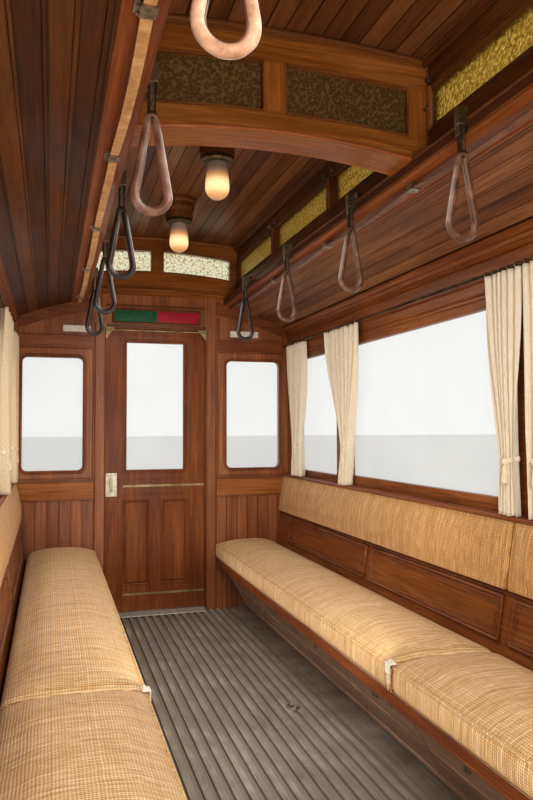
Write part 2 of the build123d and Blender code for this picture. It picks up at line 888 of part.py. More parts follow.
panel_edges = [0, back_panel_pitch, 2 * back_panel_pitch, trim_face + back_stile / 2]
for side_name, side in SIDES.items():
    with BuildPart() as bench_base:
        rail_bottom = cushion_foot - bench_rail
        lean = (base_foot - base_head) / (cushion_foot - bench_board)
        rail_x = base_head + (bench_rail - bench_board) * lean
        with BuildSketch(Plane.XZ):
            base_points = [
                (bench_rail_front, cushion_foot), (half_width, cushion_foot),
                (half_width, cushion_foot - bench_board), (base_head + base_thickness, cushion_foot - bench_board),
                (base_foot + base_thickness, 0), (base_foot, 0), (rail_x, rail_bottom),
                (bench_rail_front, rail_bottom),
            ]
            with BuildLine():
                polygon_x([(x, up(height)) for x, height in base_points], side)
            make_face()
        extrude(amount=half_length, both=True)
    save(bench_base, f"bench_base_{side_name}")

    with BuildPart() as bench_back:
        with BuildSketch(Plane.XZ):
            back_points = [
                (back_foot, cushion_foot), (back_head, back_top), (half_width, back_top),
                (half_width, back_top - back_board), (back_foot + back_board, cushion_foot),
            ]
            with BuildLine():
                polygon_x([(x, up(height)) for x, height in back_points], side)
            make_face()
        extrude(amount=trim_face, both=True)
        for start, finish in zip(panel_edges[:-1], panel_edges[1:]):
            for half in (1, -1):
                middle = half * (start + finish) / 2
                with BuildSketch(Plane.XZ.offset(-middle)):
                    raised = [
                        (back_x(back_panel_foot) - back_panel_raise, back_panel_foot),
                        (back_x(back_panel_head) - back_panel_raise, back_panel_head),
                        (back_x(back_panel_head) + back_panel_raise, back_panel_head),
                        (back_x(back_panel_foot) + back_panel_raise, back_panel_foot),
                    ]
                    with BuildLine():
                        polygon_x([(x, up(height)) for x, height in raised], side)
                    make_face()
                extrude(amount=(finish - start - back_stile) / 2, both=True)
    save(bench_back, f"bench_back_{side_name}")

    with BuildPart() as seat_cushions:
        for half in (1, -1):
            with BuildSketch(Plane.XZ.offset(-half * (cushion_split / 2 + cushion_length / 2))):
                cushion_back = back_x(cushion_foot) - cushion_gap
                with BuildLine():
                    ThreePointArc(
                        (side * cushion_front, up(cushion_edge)),
                        (side * (cushion_front + cushion_back) / 2, up(cushion_crown)),
                        (side * cushion_back, up(cushion_edge)),
                    )
                    Polyline(
                        (side * cushion_back, up(cushion_edge)),
                        (side * cushion_back, up(cushion_foot)),
                        (side * cushion_front, up(cushion_foot)),
                        (side * cushion_front, up(cushion_edge)),
                    )
                make_face()
                fillet(vertices().group_by(Axis.X)[0 if side > 0 else -1], cushion_round)
            extrude(amount=cushion_length / 2, both=True)
    save(seat_cushions, f"seat_cushions_{side_name}")

    with BuildPart() as back_cushions:
        for half in (1, -1):
            with BuildSketch(Plane.XZ.offset(-half * (cushion_split / 2 + cushion_length / 2))):
                pad_points = [
                    (back_x(pad_foot) - seat_gap, pad_foot), (back_x(pad_top) - seat_gap, pad_top),
                    (back_x(pad_top) - pad_thickness, pad_top), (back_x(pad_foot) - pad_thickness, pad_foot),
                ]
                with BuildLine():
                    polygon_x([(x, up(height)) for x, height in pad_points], side)
                make_face()
                pad_middle = pad_thickness / 2
                front = [v for v in vertices() if abs(v.X) < back_x(v.Y - floor_top) - pad_middle]
                fillet(front, pad_round)
            extrude(amount=cushion_length / 2, both=True)
    save(back_cushions, f"back_cushions_{side_name}")

# Curtain rods, one along each side, on arms from the pillars
pillar_middle = small_start - main_pillar / 2
arm_places = [0, pillar_middle, -pillar_middle]
with BuildPart() as curtain_rods:
    for side in SIDES.values():
        with BuildSketch(Plane.XZ):
            with Locations((side * curtain_rod_x, up(curtain_rod_height))):
                Circle(curtain_rod_radius)
        extrude(amount=trim_face, both=True)
        with BuildSketch(Plane.YZ.offset(side * curtain_rod_x)):
            with Locations(*[(place, up(curtain_rod_height)) for place in arm_places]):
                Circle(curtain_rod_radius)
        extrude(amount=side * (half_width - curtain_rod_x))
        with BuildSketch(Plane.YZ.offset(side * half_width)):
            with Locations(*[(place, up(curtain_rod_height)) for place in arm_places]):
                Circle(arm_foot_radius)
        extrude(amount=-side * arm_foot_thickness)
save(curtain_rods, "curtain_rods")

# Curtains, tied back: each pillar, then start and end along the car from it at the top, waist and foot
curtain_table = [
    (small_end, (-375, -20), (-340, -140), (-330, -150)),
    (pillar_middle, (-345, 140), (-280, -5), (-270, 0)),
    (0, (5, 190), (5, 85), (5, 100)),
]
curtain_top = curtain_rod_height - curtain_rod_radius - seat_gap
for side_name, side in SIDES.items():
    with BuildPart() as curtains:
        for pillar, top, waist, foot in curtain_table:
            for half in (1, -1):
                with BuildSketch(Plane.YZ.offset(side * curtain_rod_x)):
                    with BuildLine():
                        Polyline(
                            (half * (pillar + top[0]), up(curtain_top)),
                            (half * (pillar + top[1]), up(curtain_top)),
                            (half * (pillar + waist[1]), up(curtain_waist)),
                            (half * (pillar + foot[1]), up(curtain_foot)),
                            (half * (pillar + foot[0]), up(curtain_foot)),
                            (half * (pillar + waist[0]), up(curtain_waist)),
                            close=True,
                        )
                    make_face()
                extrude(amount=curtain_thickness / 2, both=True)
    save(curtains, f"curtains_{side_name}")

# Hand straps: leather loops that hang from metal clips on the ledge's edge
strap_places = [half * (n + 0.5) * hanging_pitch for half in (1, -1) for n in range(hanging_pairs)]
loop_low = up(strap_bottom + strap_radius + strap_half)
loop_high = up(strap_top - strap_radius - strap_neck)
loop_lean = asin((strap_half - strap_neck) / (loop_high - loop_low))
low_point = Vector(strap_half * cos(loop_lean), loop_low + strap_half * sin(loop_lean))
high_point = Vector(strap_neck * cos(loop_lean), loop_high + strap_neck * sin(loop_lean))
loop_bottom = loop_low - strap_half
with BuildPart() as hand_strap:
    with BuildLine(Plane.XZ):
        ThreePointArc(
            (0, loop_bottom),
            (strap_half * sin(pi / 4), loop_low - strap_half * cos(pi / 4)),
            (low_point.X, low_point.Y),
        )
        Line((low_point.X, low_point.Y), (high_point.X, high_point.Y))
        ThreePointArc(
            (high_point.X, high_point.Y), (0, loop_high + strap_neck), (-high_point.X, high_point.Y)
        )
        Line((-high_point.X, high_point.Y), (-low_point.X, low_point.Y))
        ThreePointArc(
            (-low_point.X, low_point.Y),
            (-strap_half * sin(pi / 4), loop_low - strap_half * cos(pi / 4)),
            (0, loop_bottom),
        )
    with BuildSketch(Plane(origin=(0, 0, loop_bottom), x_dir=(0, 1, 0), z_dir=(1, 0, 0))):
        Circle(strap_radius)
    sweep()

with BuildPart() as hand_straps:
    with Locations(*[(side * strap_x, place, 0) for side in SIDES.values() for place in strap_places]):
        add(hand_strap.part)
save(hand_straps, "hand_straps")

clip_inner = strap_x - clip_thickness
clip_outer = strap_x + clip_thickness
clip_points = [
    (deck_edge, deck_edge_height), (deck_edge, clip_top), (deck_edge - clip_thickness, clip_top),
    (deck_edge - clip_thickness, clip_shoulder), (clip_inner, clip_shoulder),
    (clip_inner, strap_top + seat_gap), (clip_outer, strap_top + seat_gap),
    (clip_outer, clip_shoulder - 2 * clip_thickness),
    (deck_edge - clip_thickness, clip_shoulder - 2 * clip_thickness),
    (deck_edge - clip_thickness, deck_edge_height),
]
with BuildPart() as strap_clips:
    for side in SIDES.values():
        for place in strap_places:
            with BuildSketch(Plane.XZ.offset(-place)):
                with BuildLine():
                    polygon_x([(x, up(height)) for x, height in clip_points], side)
                make_face()
            extrude(amount=clip_width / 2, both=True)
save(strap_clips, "strap_clips")

# Flat strip under each deck, carried in box brackets
with BuildPart() as strip_rails:
    for side in SIDES.values():
        with BuildSketch(Plane.XZ):
            with Locations((side * strip_rail_x, up(strip_rail_height))):
                Rectangle(strip_rail_width, strip_rail_thickness)
        extrude(amount=half_length, both=True)
save(strip_rails, "strip_rails")

with BuildPart() as strip_brackets:
    for side in SIDES.values():
        for n in range(-hanging_pairs, hanging_pairs + 1):
            with BuildSketch(Plane.XZ.offset(-n * hanging_pitch)):
                top = deck_edge_height - bracket_drop
                with Locations((side * strip_rail_x, up((strip_rail_height + top) / 2 - bracket_wall))):
                    Rectangle(bracket_width, top - strip_rail_height + 2 * bracket_wall)
                with Locations((side * strip_rail_x, up(strip_rail_height))):
                    Rectangle(strip_rail_width, strip_rail_thickness, mode=Mode.SUBTRACT)
            extrude(amount=bracket_length / 2, both=True)
save(strip_brackets, "strip_brackets")

# Lamps: turned wooden base, metal ring and frosted globe
lamp_middles = [(0, half * place, 0) for half in (1, -1) for place in lamp_places]


def turned(points):
    """Solid turned about Z from an outline of radius and height above the floor."""
    with BuildPart() as piece:
        with BuildSketch(Plane.XZ):
            with BuildLine():
                Polyline(*[(radius, up(height)) for radius, height in points], close=True)
            make_face()
        revolve(axis=Axis.Z)
    return piece.part


base_top = ceiling_height - lamp_seat
base_foot_radius = lamp_ring_radius + lamp_base_lip
base_outline = [
    (0, base_top), (lamp_base_radius, base_top), (lamp_base_radius, base_top - lamp_base_rim),
    (lamp_base_radius - lamp_base_step, base_top - lamp_base_rim - lamp_base_step),
    (lamp_base_radius - lamp_base_step, base_top - lamp_base_waist),
    (base_foot_radius, lamp_base_foot + lamp_base_foot_rise),
    (base_foot_radius, lamp_base_foot), (0, lamp_base_foot),
]
with BuildPart() as lamp_bases:
    with Locations(*lamp_middles):
        add(turned(base_outline))
save(lamp_bases, "lamp_bases")

ring_outline = [
    (0, lamp_base_foot), (lamp_ring_radius, lamp_base_foot), (lamp_ring_radius, lamp_ring_foot + lamp_ring_rim),
    (lamp_globe_radius + lamp_ring_lip, lamp_ring_foot), (0, lamp_ring_foot),
]
with BuildPart() as lamp_rings:
    with Locations(*lamp_middles):
        add(turned(ring_outline))
save(lamp_rings, "lamp_rings")

with BuildPart() as lamp_globe:
    globe_middle = lamp_globe_foot + lamp_globe_radius
    globe_diagonal = lamp_globe_radius * sin(pi / 4)
    with BuildSketch(Plane.XZ):
        with BuildLine():
            ThreePointArc(
                (0, up(lamp_globe_foot)),
                (globe_diagonal, up(globe_middle - globe_diagonal)),
                (lamp_globe_radius, up(globe_middle)),
            )
            TangentArc(
                (lamp_globe_radius, up(globe_middle)), (lamp_globe_neck, up(lamp_ring_foot)), tangent=(0, 1)
            )
            Polyline(
                (lamp_globe_neck, up(lamp_ring_foot)), (0, up(lamp_ring_foot)), (0, up(lamp_globe_foot))
            )
        make_face()
    revolve(axis=Axis.Z)
with BuildPart() as lamp_globes:
    with Locations(*lamp_middles):
        add(lamp_globe.part)
save(lamp_globes, "lamp_globes")
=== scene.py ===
"""Looks of the tram saloon: varnished wood, cane seats, curtains, leather straps, brass and hammered glass.

Sizes are in millimetres with heights above the floor's walking surface, as in the drawings of such a car,
and become metres in the CAD frame: X right, Y to the front, Z up.
"""

from math import asin, atan2, cos, hypot, pi, radians, sin, sqrt

import bpy
from mathutils import Matrix, Vector


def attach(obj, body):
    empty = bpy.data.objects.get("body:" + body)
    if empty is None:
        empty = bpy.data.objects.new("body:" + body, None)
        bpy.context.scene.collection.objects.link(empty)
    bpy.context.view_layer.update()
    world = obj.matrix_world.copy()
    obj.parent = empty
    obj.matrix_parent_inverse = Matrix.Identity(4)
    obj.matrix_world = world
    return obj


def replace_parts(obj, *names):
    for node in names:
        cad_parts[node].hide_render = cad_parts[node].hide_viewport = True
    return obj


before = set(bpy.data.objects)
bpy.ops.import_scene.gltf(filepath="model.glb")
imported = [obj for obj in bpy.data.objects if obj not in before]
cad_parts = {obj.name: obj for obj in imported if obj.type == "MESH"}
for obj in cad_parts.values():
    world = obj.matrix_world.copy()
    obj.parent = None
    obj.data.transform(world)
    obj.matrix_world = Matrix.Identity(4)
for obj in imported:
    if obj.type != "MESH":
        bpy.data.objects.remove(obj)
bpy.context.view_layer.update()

MM = 0.001
FLOOR = 220
HALF_TURN = Matrix.Rotation(pi, 4, "Z")
MIRROR = Matrix.Scale(-1, 4, (1, 0, 0))
CORNERS = {
    "front_right": Matrix.Identity(4), "front_left": MIRROR,
    "rear_left": HALF_TURN, "rear_right": HALF_TURN @ MIRROR,
}

# Sizes repeated from the drawing
half_length = 2700
half_width = 950
deck_edge = 475
eaves = 1983
deck_edge_height = 2129
ledge = 2172
clerestory_half = 567
clerestory_top = 2558
ceiling = 2586
post_outer = 420
trim_face = 2690
leaf_face = 2758
leaf_back = 2792
curtain_rod_x = 918
curtain_rod_height = 1848
post_pitch = 900
strap_pitch = 820
pillar_face = 914
seat_in = 402
seat_out = 845
# Painted joints of the deck boards, as timber takes them: axis, pitch, start and upper limit. The modelled
# boards are 63.3 wide, so these joints lie 10 to 18 beside theirs
deck_joints = (0, 65, 0, 3000)

# Ends of pieces that run the saloon's length, and where pieces on the bulkheads are let into them
run_end = half_length - 1
let_in = half_length + 1


# Finishes

def tone(code):
    """Linear colour of an sRGB hex value."""
    parts = [int(code[i:i + 2], 16) / 255 for i in (1, 3, 5)]
    return tuple(c / 12.92 if c <= 0.04045 else ((c + 0.055) / 1.055) ** 2.4 for c in parts) + (1,)


def add_node(tree, kind, inputs=None, stops=(), **settings):
    """Adds a node. An input is a value or a socket to link; stops are a ramp's places and colours."""
    added = tree.nodes.new(kind)
    for name, value in settings.items():
        setattr(added, name, value)
    for n, (place, code) in enumerate(stops):
        element = added.color_ramp.elements[n] if n < 2 else added.color_ramp.elements.new(place)
        element.position = place
        element.color = tone(code)
    for name, value in (inputs or {}).items():
        if isinstance(value, bpy.types.NodeSocket):
            tree.links.new(value, added.inputs[name])
        else:
            added.inputs[name].default_value = value
    return added


class Finish:
    """A material with its shader's plain values set, and short ways to add nodes, each giving its result."""

    def __init__(self, name, **values):
        self.material = bpy.data.materials.new(name)
        self.material.use_nodes = True
        self.tree = self.material.node_tree
        self.shader = self.tree.nodes["Principled BSDF"]
        for socket, value in values.items():
            self.shader.inputs[socket.replace("_", " ")].default_value = value
        coordinates = add_node(self.tree, "ShaderNodeTexCoord").outputs
        self.place, self.facing = coordinates["Object"], coordinates["Normal"]

    def add(self, kind, inputs, output=0, **settings):
        return add_node(self.tree, kind, inputs, **settings).outputs[output]

    def wire(self, **results):
        """Links each result to the shader's socket of that name."""
        for socket, result in results.items():
            self.tree.links.new(result, self.shader.inputs[socket.replace("_", " ")])
        return self

    def math(self, operation, *values):
        return self.add("ShaderNodeMath", dict(enumerate(values)), operation=operation)

    def axis(self, number, vector=None):
        return self.add("ShaderNodeSeparateXYZ", {0: self.place if vector is None else vector}, number)

    def noise(self, scale, detail, place=None, **others):
        place = self.place if place is None else place
        return self.add("ShaderNodeTexNoise", {"Vector": place, "Scale": scale, "Detail": detail, **others})

    def drawn(self, across, along, grain, detail, **others):
        """Noise with one scale across the grain axis and another along it."""
        scale = [along if axis == grain else across for axis in range(3)]
        mapped = self.add("ShaderNodeMapping", {"Vector": self.place, "Scale": scale})
        return self.noise(1.0, detail, mapped, **others)

    def chance(self, number):
        """A random value from 0 to 1 for each whole number."""
        return self.add("ShaderNodeTexWhiteNoise", {"W": number}, "Value", noise_dimensions="1D")

    def remap(self, value, low, high, to_low, to_high, **settings):
        inputs = {0: value, 1: low, 2: high, 3: to_low, 4: to_high}
        return self.add("ShaderNodeMapRange", inputs, **settings)

    def mix(self, share, first, second):
        """Two values mixed by the share of the second."""
        return self.add("ShaderNodeMix", {0: share, 2: first, 3: second}, data_type="FLOAT")

    def blend(self, share, first, second):
        """Two colours mixed by the share of the second."""
        return self.add("ShaderNodeMix", {0: share, 6: first, 7: second}, 2, data_type="RGBA")

    def ramp(self, level, places, shades):
        return self.add("ShaderNodeValToRGB", {"Fac": level}, stops=list(zip(places, shades)))

    def bump(self, height, strength, distance):
        return self.add("ShaderNodeBump", {"Height": height, "Strength": strength, "Distance": distance})


def timber(name, shades, grain, boards=None, spread=0.2, roughness=0.42, coat=0.14, relief=0.15, haze=0.2,
           gleam=0.2):
    """Sawn and varnished hardwood: streaks along the grain, broad tone changes, fine pores, a clear coat.

    grain is the axis the fibres follow. boards gives the axis, pitch and start at which the tone changes by
    the spread, and the height up to which there are boards; dirt darkens their joints.
    """
    make = Finish(name, Coat_Weight=coat, Coat_Roughness=haze, Specular_IOR_Level=gleam)
    streaks = make.drawn(1 / 0.011, 1 / 0.286, grain, 6.0, Roughness=0.6, Distortion=0.35)
    broad = make.drawn(9.0, 1.4, grain, 3.0)
    level = make.mix(0.42, streaks, broad)
    if boards:
        axis, pitch, start, top = boards
        within = make.math("LESS_THAN", make.axis(2), (FLOOR + top) * MM)
        from_start = make.math("SUBTRACT", make.axis(axis), start * MM)
        ratio = make.math("DIVIDE", from_start, pitch * MM)
        own_tone = make.chance(make.math("FLOOR", ratio))
        level = make.mix(make.math("MULTIPLY", within, spread), level, own_tone)
        from_middle = make.math("SUBTRACT", make.math("FRACT", ratio), 0.5)
        nearness = make.math("ABSOLUTE", from_middle)
        joint = make.remap(nearness, 0.5 - 3.4 / pitch, 0.5 - 1.0 / pitch, 0.0, 0.8)
        joint = make.math("MULTIPLY", joint, within)
    pores = make.remap(make.drawn(1 / 0.0022, 1 / 0.045, grain, 2.0), 0.56, 0.7, 0.0, 0.32)
    colour = make.blend(pores, make.ramp(level, (0.3, 0.5, 0.7), shades), tone(shades[0]))
    if boards:
        colour = make.blend(joint, colour, tone("#160a05"))
    gloss = make.remap(broad, 0.3, 0.7, roughness - 0.08, roughness + 0.14)
    return make.wire(Base_Color=colour, Roughness=gloss, Normal=make.bump(streaks, relief, 0.0012))


def cane_cloth(name, shades):
    """Woven cane: flat split cane over a cord warp, honey and straw, a dull sheen on each strand.

    Real strands are 3 mm wide, and are drawn 8 mm wide so that they show in the picture.
    """
    strand = 0.0082
    make = Finish(name, Specular_IOR_Level=0.45, Sheen_Weight=0.12)
    lying = make.math("GREATER_THAN", make.axis(2, make.facing), 0.62)
    crosswise = make.mix(lying, make.axis(2), make.axis(0))
    shift = make.math("MULTIPLY", make.noise(22.0, 2.0), 0.006)
    row, cord = [make.math("ADD", line, shift) for line in (make.axis(1), crosswise)]
    waves = [make.math("SINE", make.math("MULTIPLY", line, 2 * pi / strand)) for line in (row, cord)]
    woven = make.math("MULTIPLY_ADD", waves[1], 0.75, waves[0])
    height = make.remap(woven, -1.5, 1.5, 0.0, 1.0)
    row_tone = make.chance(make.math("FLOOR", make.math("MULTIPLY_ADD", row, 1 / strand, 0.25)))
    cord_count = make.math("MULTIPLY", cord, 0.5 / strand)
    cord_tone = make.add(
        "ShaderNodeTexNoise", {"W": cord_count, "Scale": 1.6, "Detail": 2.0}, noise_dimensions="1D"
    )
    strands = make.drawn(16.0, 170.0, 1, 3.0, Roughness=0.7)
    level = make.mix(0.2, strands, make.drawn(6.0, 52.0, 1, 3.0))
    level = make.mix(make.math("MULTIPLY", lying, 0.15), level, cord_tone)
    level = make.mix(0.1, level, row_tone)
    # The low parts of the weave turn towards the fourth, darkest shade: painted shade in the hollows
    weave_hollow_shade = make.remap(height, 0.1, 0.5, 0.7, 0.0)
    colour = make.blend(weave_hollow_shade, make.ramp(level, (0.3, 0.5, 0.7), shades[:3]), tone(shades[3]))
    dull = make.remap(strands, 0.0, 1.0, 0.42, 0.68)
    return make.wire(Base_Color=colour, Roughness=dull, Normal=make.bump(height, 0.7, 0.0022))


def hammered(name, shades, pitch, clear, roughness, ripple=0.5):
    """Cast cathedral glass: a pebbled face of small domes, tinted, bright where the domes thin the colour."""
    make = Finish(name, IOR=1.45, Transmission_Weight=clear, Roughness=roughness, Specular_IOR_Level=0.5)
    domes = make.add(
        "ShaderNodeTexVoronoi", {"Vector": make.place, "Scale": 1000 / pitch, "Smoothness": 0.6},
        "Distance", feature="SMOOTH_F1",
    )
    level = make.mix(ripple, domes, make.noise(1200 / pitch, 3.0, Distortion=1.2))
    colour = make.ramp(level, (0.32, 0.5, 0.64), shades[::-1])
    return make.wire(Base_Color=colour, Normal=make.bump(level, 0.8, 0.004))


def metal(name, shades, roughness, spots, solid=1.0):
    """Worn metal: slow tone change from handling, finer tarnish, and a roughness that follows both."""
    make = Finish(name, Metallic=solid)
    film = make.noise(spots, 5.0, Roughness=0.65)
    colour = make.ramp(film, (0.36, 0.62), shades)
    rough = make.remap(film, 0.3, 0.7, roughness + 0.14, roughness - 0.06)
    return make.wire(Base_Color=colour, Roughness=rough, Normal=make.bump(film, 0.12, 0.0006))


def worn_floor(name):
    """Bare scrubbed hardwood slats: grey-brown tops, and down in the grooves one flat grey-brown tone,
    painted light that lifts the shade falling there.
    """
    make = Finish(name, Specular_IOR_Level=0.3)
    streaks = make.drawn(260.0, 5.0, 1, 6.0, Roughness=0.7)
    scuffs = make.noise(7.0, 6.0)
    level = make.mix(0.45, streaks, scuffs)
    top = make.ramp(level, (0.34, 0.52, 0.68), ("#685d51", "#90867a", "#b3aba0"))
    # Below the slat tops the colour turns to one tone: painted light against the shade in the grooves
    depth = make.remap(make.axis(2), FLOOR * MM - 0.014, FLOOR * MM - 0.004, 1.0, 0.0)
    colour = make.blend(depth, top, tone("#83786a"))
    rough = make.remap(scuffs, 0.0, 1.0, 0.55, 0.85)
    return make.wire(Base_Color=colour, Roughness=rough, Normal=make.bump(streaks, 0.5, 0.0015))


def cotton(name, shades, weave):
    """Plain woven cotton: matt, a soft sheen at the folds, faint slubs down the cloth."""
    make = Finish(name, Roughness=0.85, Sheen_Weight=0.25, Specular_IOR_Level=0.2)
    colour = make.ramp(make.drawn(500.0, 25.0, 2, 3.0), (0.25, 0.7), shades)
    return make.wire(Base_Color=colour, Normal=make.bump(make.noise(weave, 2.0), 0.25, 0.0008))


def leather(name, shades, wax=0.35):
    """Round stitched strap leather: waxed, rubbed pale where hands hold it, fine grain and small creases."""
    make = Finish(name, Coat_Weight=wax, Coat_Roughness=0.22)
    rubbed = make.noise(22.0, 9.0, Roughness=0.68)
    colour = make.ramp(rubbed, (0.32, 0.5, 0.7), shades)
    rough = make.remap(rubbed, 0.0, 1.0, 0.46, 0.3)
    grain = make.add(
        "ShaderNodeTexVoronoi", {"Vector": make.place, "Scale": 520.0}, "Distance", feature="F1"
    )
    return make.wire(Base_Color=colour, Roughness=rough, Normal=make.bump(grain, 0.25, 0.0006))


def window_glass(name):
    """Drawn sheet glass: clear, thin, with a faint green tint and slow waves in the surface."""
    make = Finish(name, Roughness=0.03, Alpha=0.12, Specular_IOR_Level=0.55, IOR=1.5)
    waves = make.noise(5.0, 2.0)
    tint = make.ramp(waves, (0.3, 0.7), ("#cfdcd6", "#e6eeea"))
    return make.wire(Base_Color=tint, Normal=make.bump(waves, 0.1, 0.002))


def frosted_globe(name, bulb_height):
    """Acid-frosted lamp glass, lit: brightest round the bulb and fading towards the ring."""
    make = Finish(name, Roughness=0.45, Specular_IOR_Level=0.4)
    above = make.math("SUBTRACT", make.axis(2), (FLOOR + bulb_height) * MM)
    away = make.math("ABSOLUTE", above)
    glow = make.remap(away, 0.0, 0.085, 1.0, 0.0, interpolation_type="SMOOTHSTEP")
    colour = make.ramp(glow, (0.0, 0.5, 1.0), ("#9a8070", "#e0a266", "#ffe6ac"))
    power = make.remap(glow, 0.0, 1.0, 0.1, 0.85)
    frost = make.bump(make.noise(900.0, 2.0), 0.2, 0.0005)
    return make.wire(Base_Color=colour, Emission_Color=colour, Emission_Strength=power, Normal=frost)


def sign_paint(name):
    """Enamelled sign board, blank: green on its left half and red on its right, as seen from inside."""
    make = Finish(name, Roughness=0.4, Specular_IOR_Level=0.3)
    half = make.math("GREATER_THAN", make.math("MULTIPLY", make.axis(0), make.axis(1)), 0.0)
    dust = make.noise(30.0, 4.0)
    green = make.ramp(dust, (0.3, 0.7), ("#0b4527", "#165c36"))
    red = make.ramp(dust, (0.3, 0.7), ("#960c24", "#b8182f"))
    return make.wire(Base_Color=make.blend(half, green, red))


def two_faced(name, shades, outer):
    """Roof: dark matchboard on the faces that look down, and painted canvas on those that look up."""
    make = timber(name, shades, 1, boards=deck_joints, roughness=0.5, coat=0.16, haze=0.1)
    wood = make.shader.inputs["Base Color"].links[0].from_socket
    upward = make.math("GREATER_THAN", make.axis(2, make.facing), 0.2)
    paint = make.ramp(make.noise(14.0, 6.0), (0.3, 0.7), outer)
    return make.wire(Base_Color=make.blend(upward, wood, paint))


# French-polished mahogany: red-brown with darker streaks, a warm shine. One per grain direction
mahogany = ("#4a210a", "#753b15", "#9c5a28")
mahogany_upright = timber("polished_mahogany_upright", mahogany, 2, coat=0.16, gleam=0.22)
mahogany_level = timber("polished_mahogany_level", mahogany, 0, coat=0.4, haze=0.36, gleam=0.5)
mahogany_long = timber("polished_mahogany_long", ("#4c220b", "#773f18", "#9e5c2a"), 1, coat=0.1)
# Cornice: the same wood with its varnish gone dull
cornice_wood = timber("dull_cornice_mahogany", ("#491e06", "#72390e", "#99531b"), 1, coat=0.0, gleam=0.08)
# Bulkhead boards: narrow mahogany boards, each of its own tone. Their painted joints meet the grooves on the
# right half, and lie 7 beside them on the left
mahogany_boards = timber(
    "polished_mahogany_boards", ("#5a2c12", "#8a4d24", "#b27040"), 2,
    boards=(0, (half_width - post_outer) / 7, post_outer, 783), spread=0.1, coat=0.4, haze=0.36, gleam=0.5,
)
# Dark bench base: the same wood, stained and scuffed by shoes, painted much paler than it is as painted light
# on its shaded front
bench_wood = timber("stained_mahogany_base_painted_light", ("#7e604b", "#bb9b82", "#e0c3a9"), 1, roughness=0.5, coat=0.14)
# Front rail and back stiles: lighter, orange-brown where hands and light reach it
rail_wood = timber("polished_mahogany_rail", ("#54250c", "#7c3e18", "#9c5828"), 1)
rail_wood_upright = timber("polished_mahogany_strip", ("#5c2b12", "#8a4d26", "#b07a4e"), 2)
rail_wood_level = timber("polished_mahogany_rail_level", ("#6a3415", "#945628", "#b3743f"), 0)
# Panel mouldings: polished brighter than the panels
moulding_wood = timber(
    "polished_panel_moulding", ("#451f0c", "#6e3a1a", "#9a633b"), 1, roughness=0.3, coat=0.3
)
# Ceiling boards: old dark varnish over matchboard; on the right they are painted paler, a painted sheen of
# the light that falls there, and more matt
deck_wood = timber(
    "dark_varnished_matchboard", ("#2a1204", "#4a260a", "#6c3d16"), 1, boards=deck_joints, roughness=0.6,
    coat=0.06, haze=0.12, gleam=0.16,
)
deck_wood_painted_sheen = timber(
    "sheen_painted_matchboard", ("#3f2111", "#6d4225", "#986742"), 1, boards=deck_joints, roughness=0.6,
    coat=0.06, haze=0.12, gleam=0.2,
)
ceiling_wood = timber(
    "dark_varnished_ceiling_boards", ("#3a1b0c", "#63381c", "#8a5630"), 1,
    boards=(0, 2 * clerestory_half / 17, -clerestory_half, 3000), roughness=0.36, coat=0.16,
)
trim_wood = timber(
    "dark_varnished_moulding", ("#37180a", "#5c3111", "#7f4b1e"), 1, roughness=0.44, coat=0.06
)
trim_wood_level = timber(
    "dark_varnished_moulding_level", ("#3d1c0c", "#643718", "#865026"), 0, roughness=0.34
)
# Arch frames: paler orange-brown wood
arch_shades = ("#592b0d", "#82481b", "#a8662f")
arch_wood = timber("golden_varnished_arch", arch_shades, 0, roughness=0.34)
arch_wood_upright = timber("golden_varnished_stile", arch_shades, 2, roughness=0.34)
soffit_wood = timber("polished_soffit", ("#662f19", "#934f2d", "#b7734a"), 0, roughness=0.3)
# Thin strip under the deck: pale bent ash
strip_wood = timber("bent_ash_strip", ("#a97b50", "#c99c70", "#dcb68c"), 1, roughness=0.5, coat=0.1)
# Underframe: tarred dark paint over rough timber
frame_paint = timber(
    "tarred_timber", ("#15120f", "#221d19", "#332c26"), 1, roughness=0.62, coat=0.0, relief=0.5
)
floor_wood = worn_floor("scrubbed_floor_slats")
# Woven cane on seats and backs
cane_seat = cane_cloth("woven_cane_seat", ("#a87434", "#dfb273", "#fbe8bf", "#74481c"))
cane_back = cane_cloth("woven_cane_back", ("#935f26", "#cf9853", "#f0cc93", "#74451a"))
# Cream cotton curtains, those on the left painted a darker tan as painted shade, and the cord of their ties
curtain_cotton = cotton("cream_cotton", ("#d2bfa3", "#ece0cc"), 900.0)
cotton_in_painted_shade = cotton("cotton_in_painted_shade", ("#c2a987", "#dcc7a8"), 900.0)
thread = cotton("pale_cord", ("#d9c7a4", "#f1e6cf"), 700.0)
# Canvas on the roof: oiled and painted dull grey
canvas_shades = ("#6f6a61", "#8b857a")
canvas = cotton("painted_canvas", canvas_shades, 300.0)
roof_skin = two_faced("roof_board_and_canvas", ("#2a1209", "#492414", "#66351d"), canvas_shades)
# Hand straps: waxed brown, oiled darker, rubbed pale by hands, and near-black, which is the stalks' own
# leather and on the loops nearest the ends and on the left side's front half a painted shade; their rubbed
# seams
strap_leather = leather("waxed_strap_leather", ("#4a2b1d", "#6f4835", "#977261"), 0.6)
oiled_leather = leather("oiled_strap_leather", ("#38200f", "#5c3a25", "#876048"), 0.5)
rubbed_leather = leather("rubbed_strap_leather", ("#8f6145", "#bd8f6f", "#dcbb9d"), 0.4)
strap_dark = leather("dark_leather_and_painted_shade", ("#15100c", "#241a14", "#382a20"))
seam_leather = leather("rubbed_strap_seam", ("#3b2116", "#5b3827", "#7c5441"), 0.1)
# Flat straps under the ledges: dry leather, left in its own pale colour or dyed brown
pale_leather = leather("natural_strap_leather", ("#a9743f", "#c8955f", "#e0b987"), 0.05)
brown_leather = leather("dry_brown_strap_leather", ("#4c2c19", "#6b4128", "#8a5c3d"), 0.0)
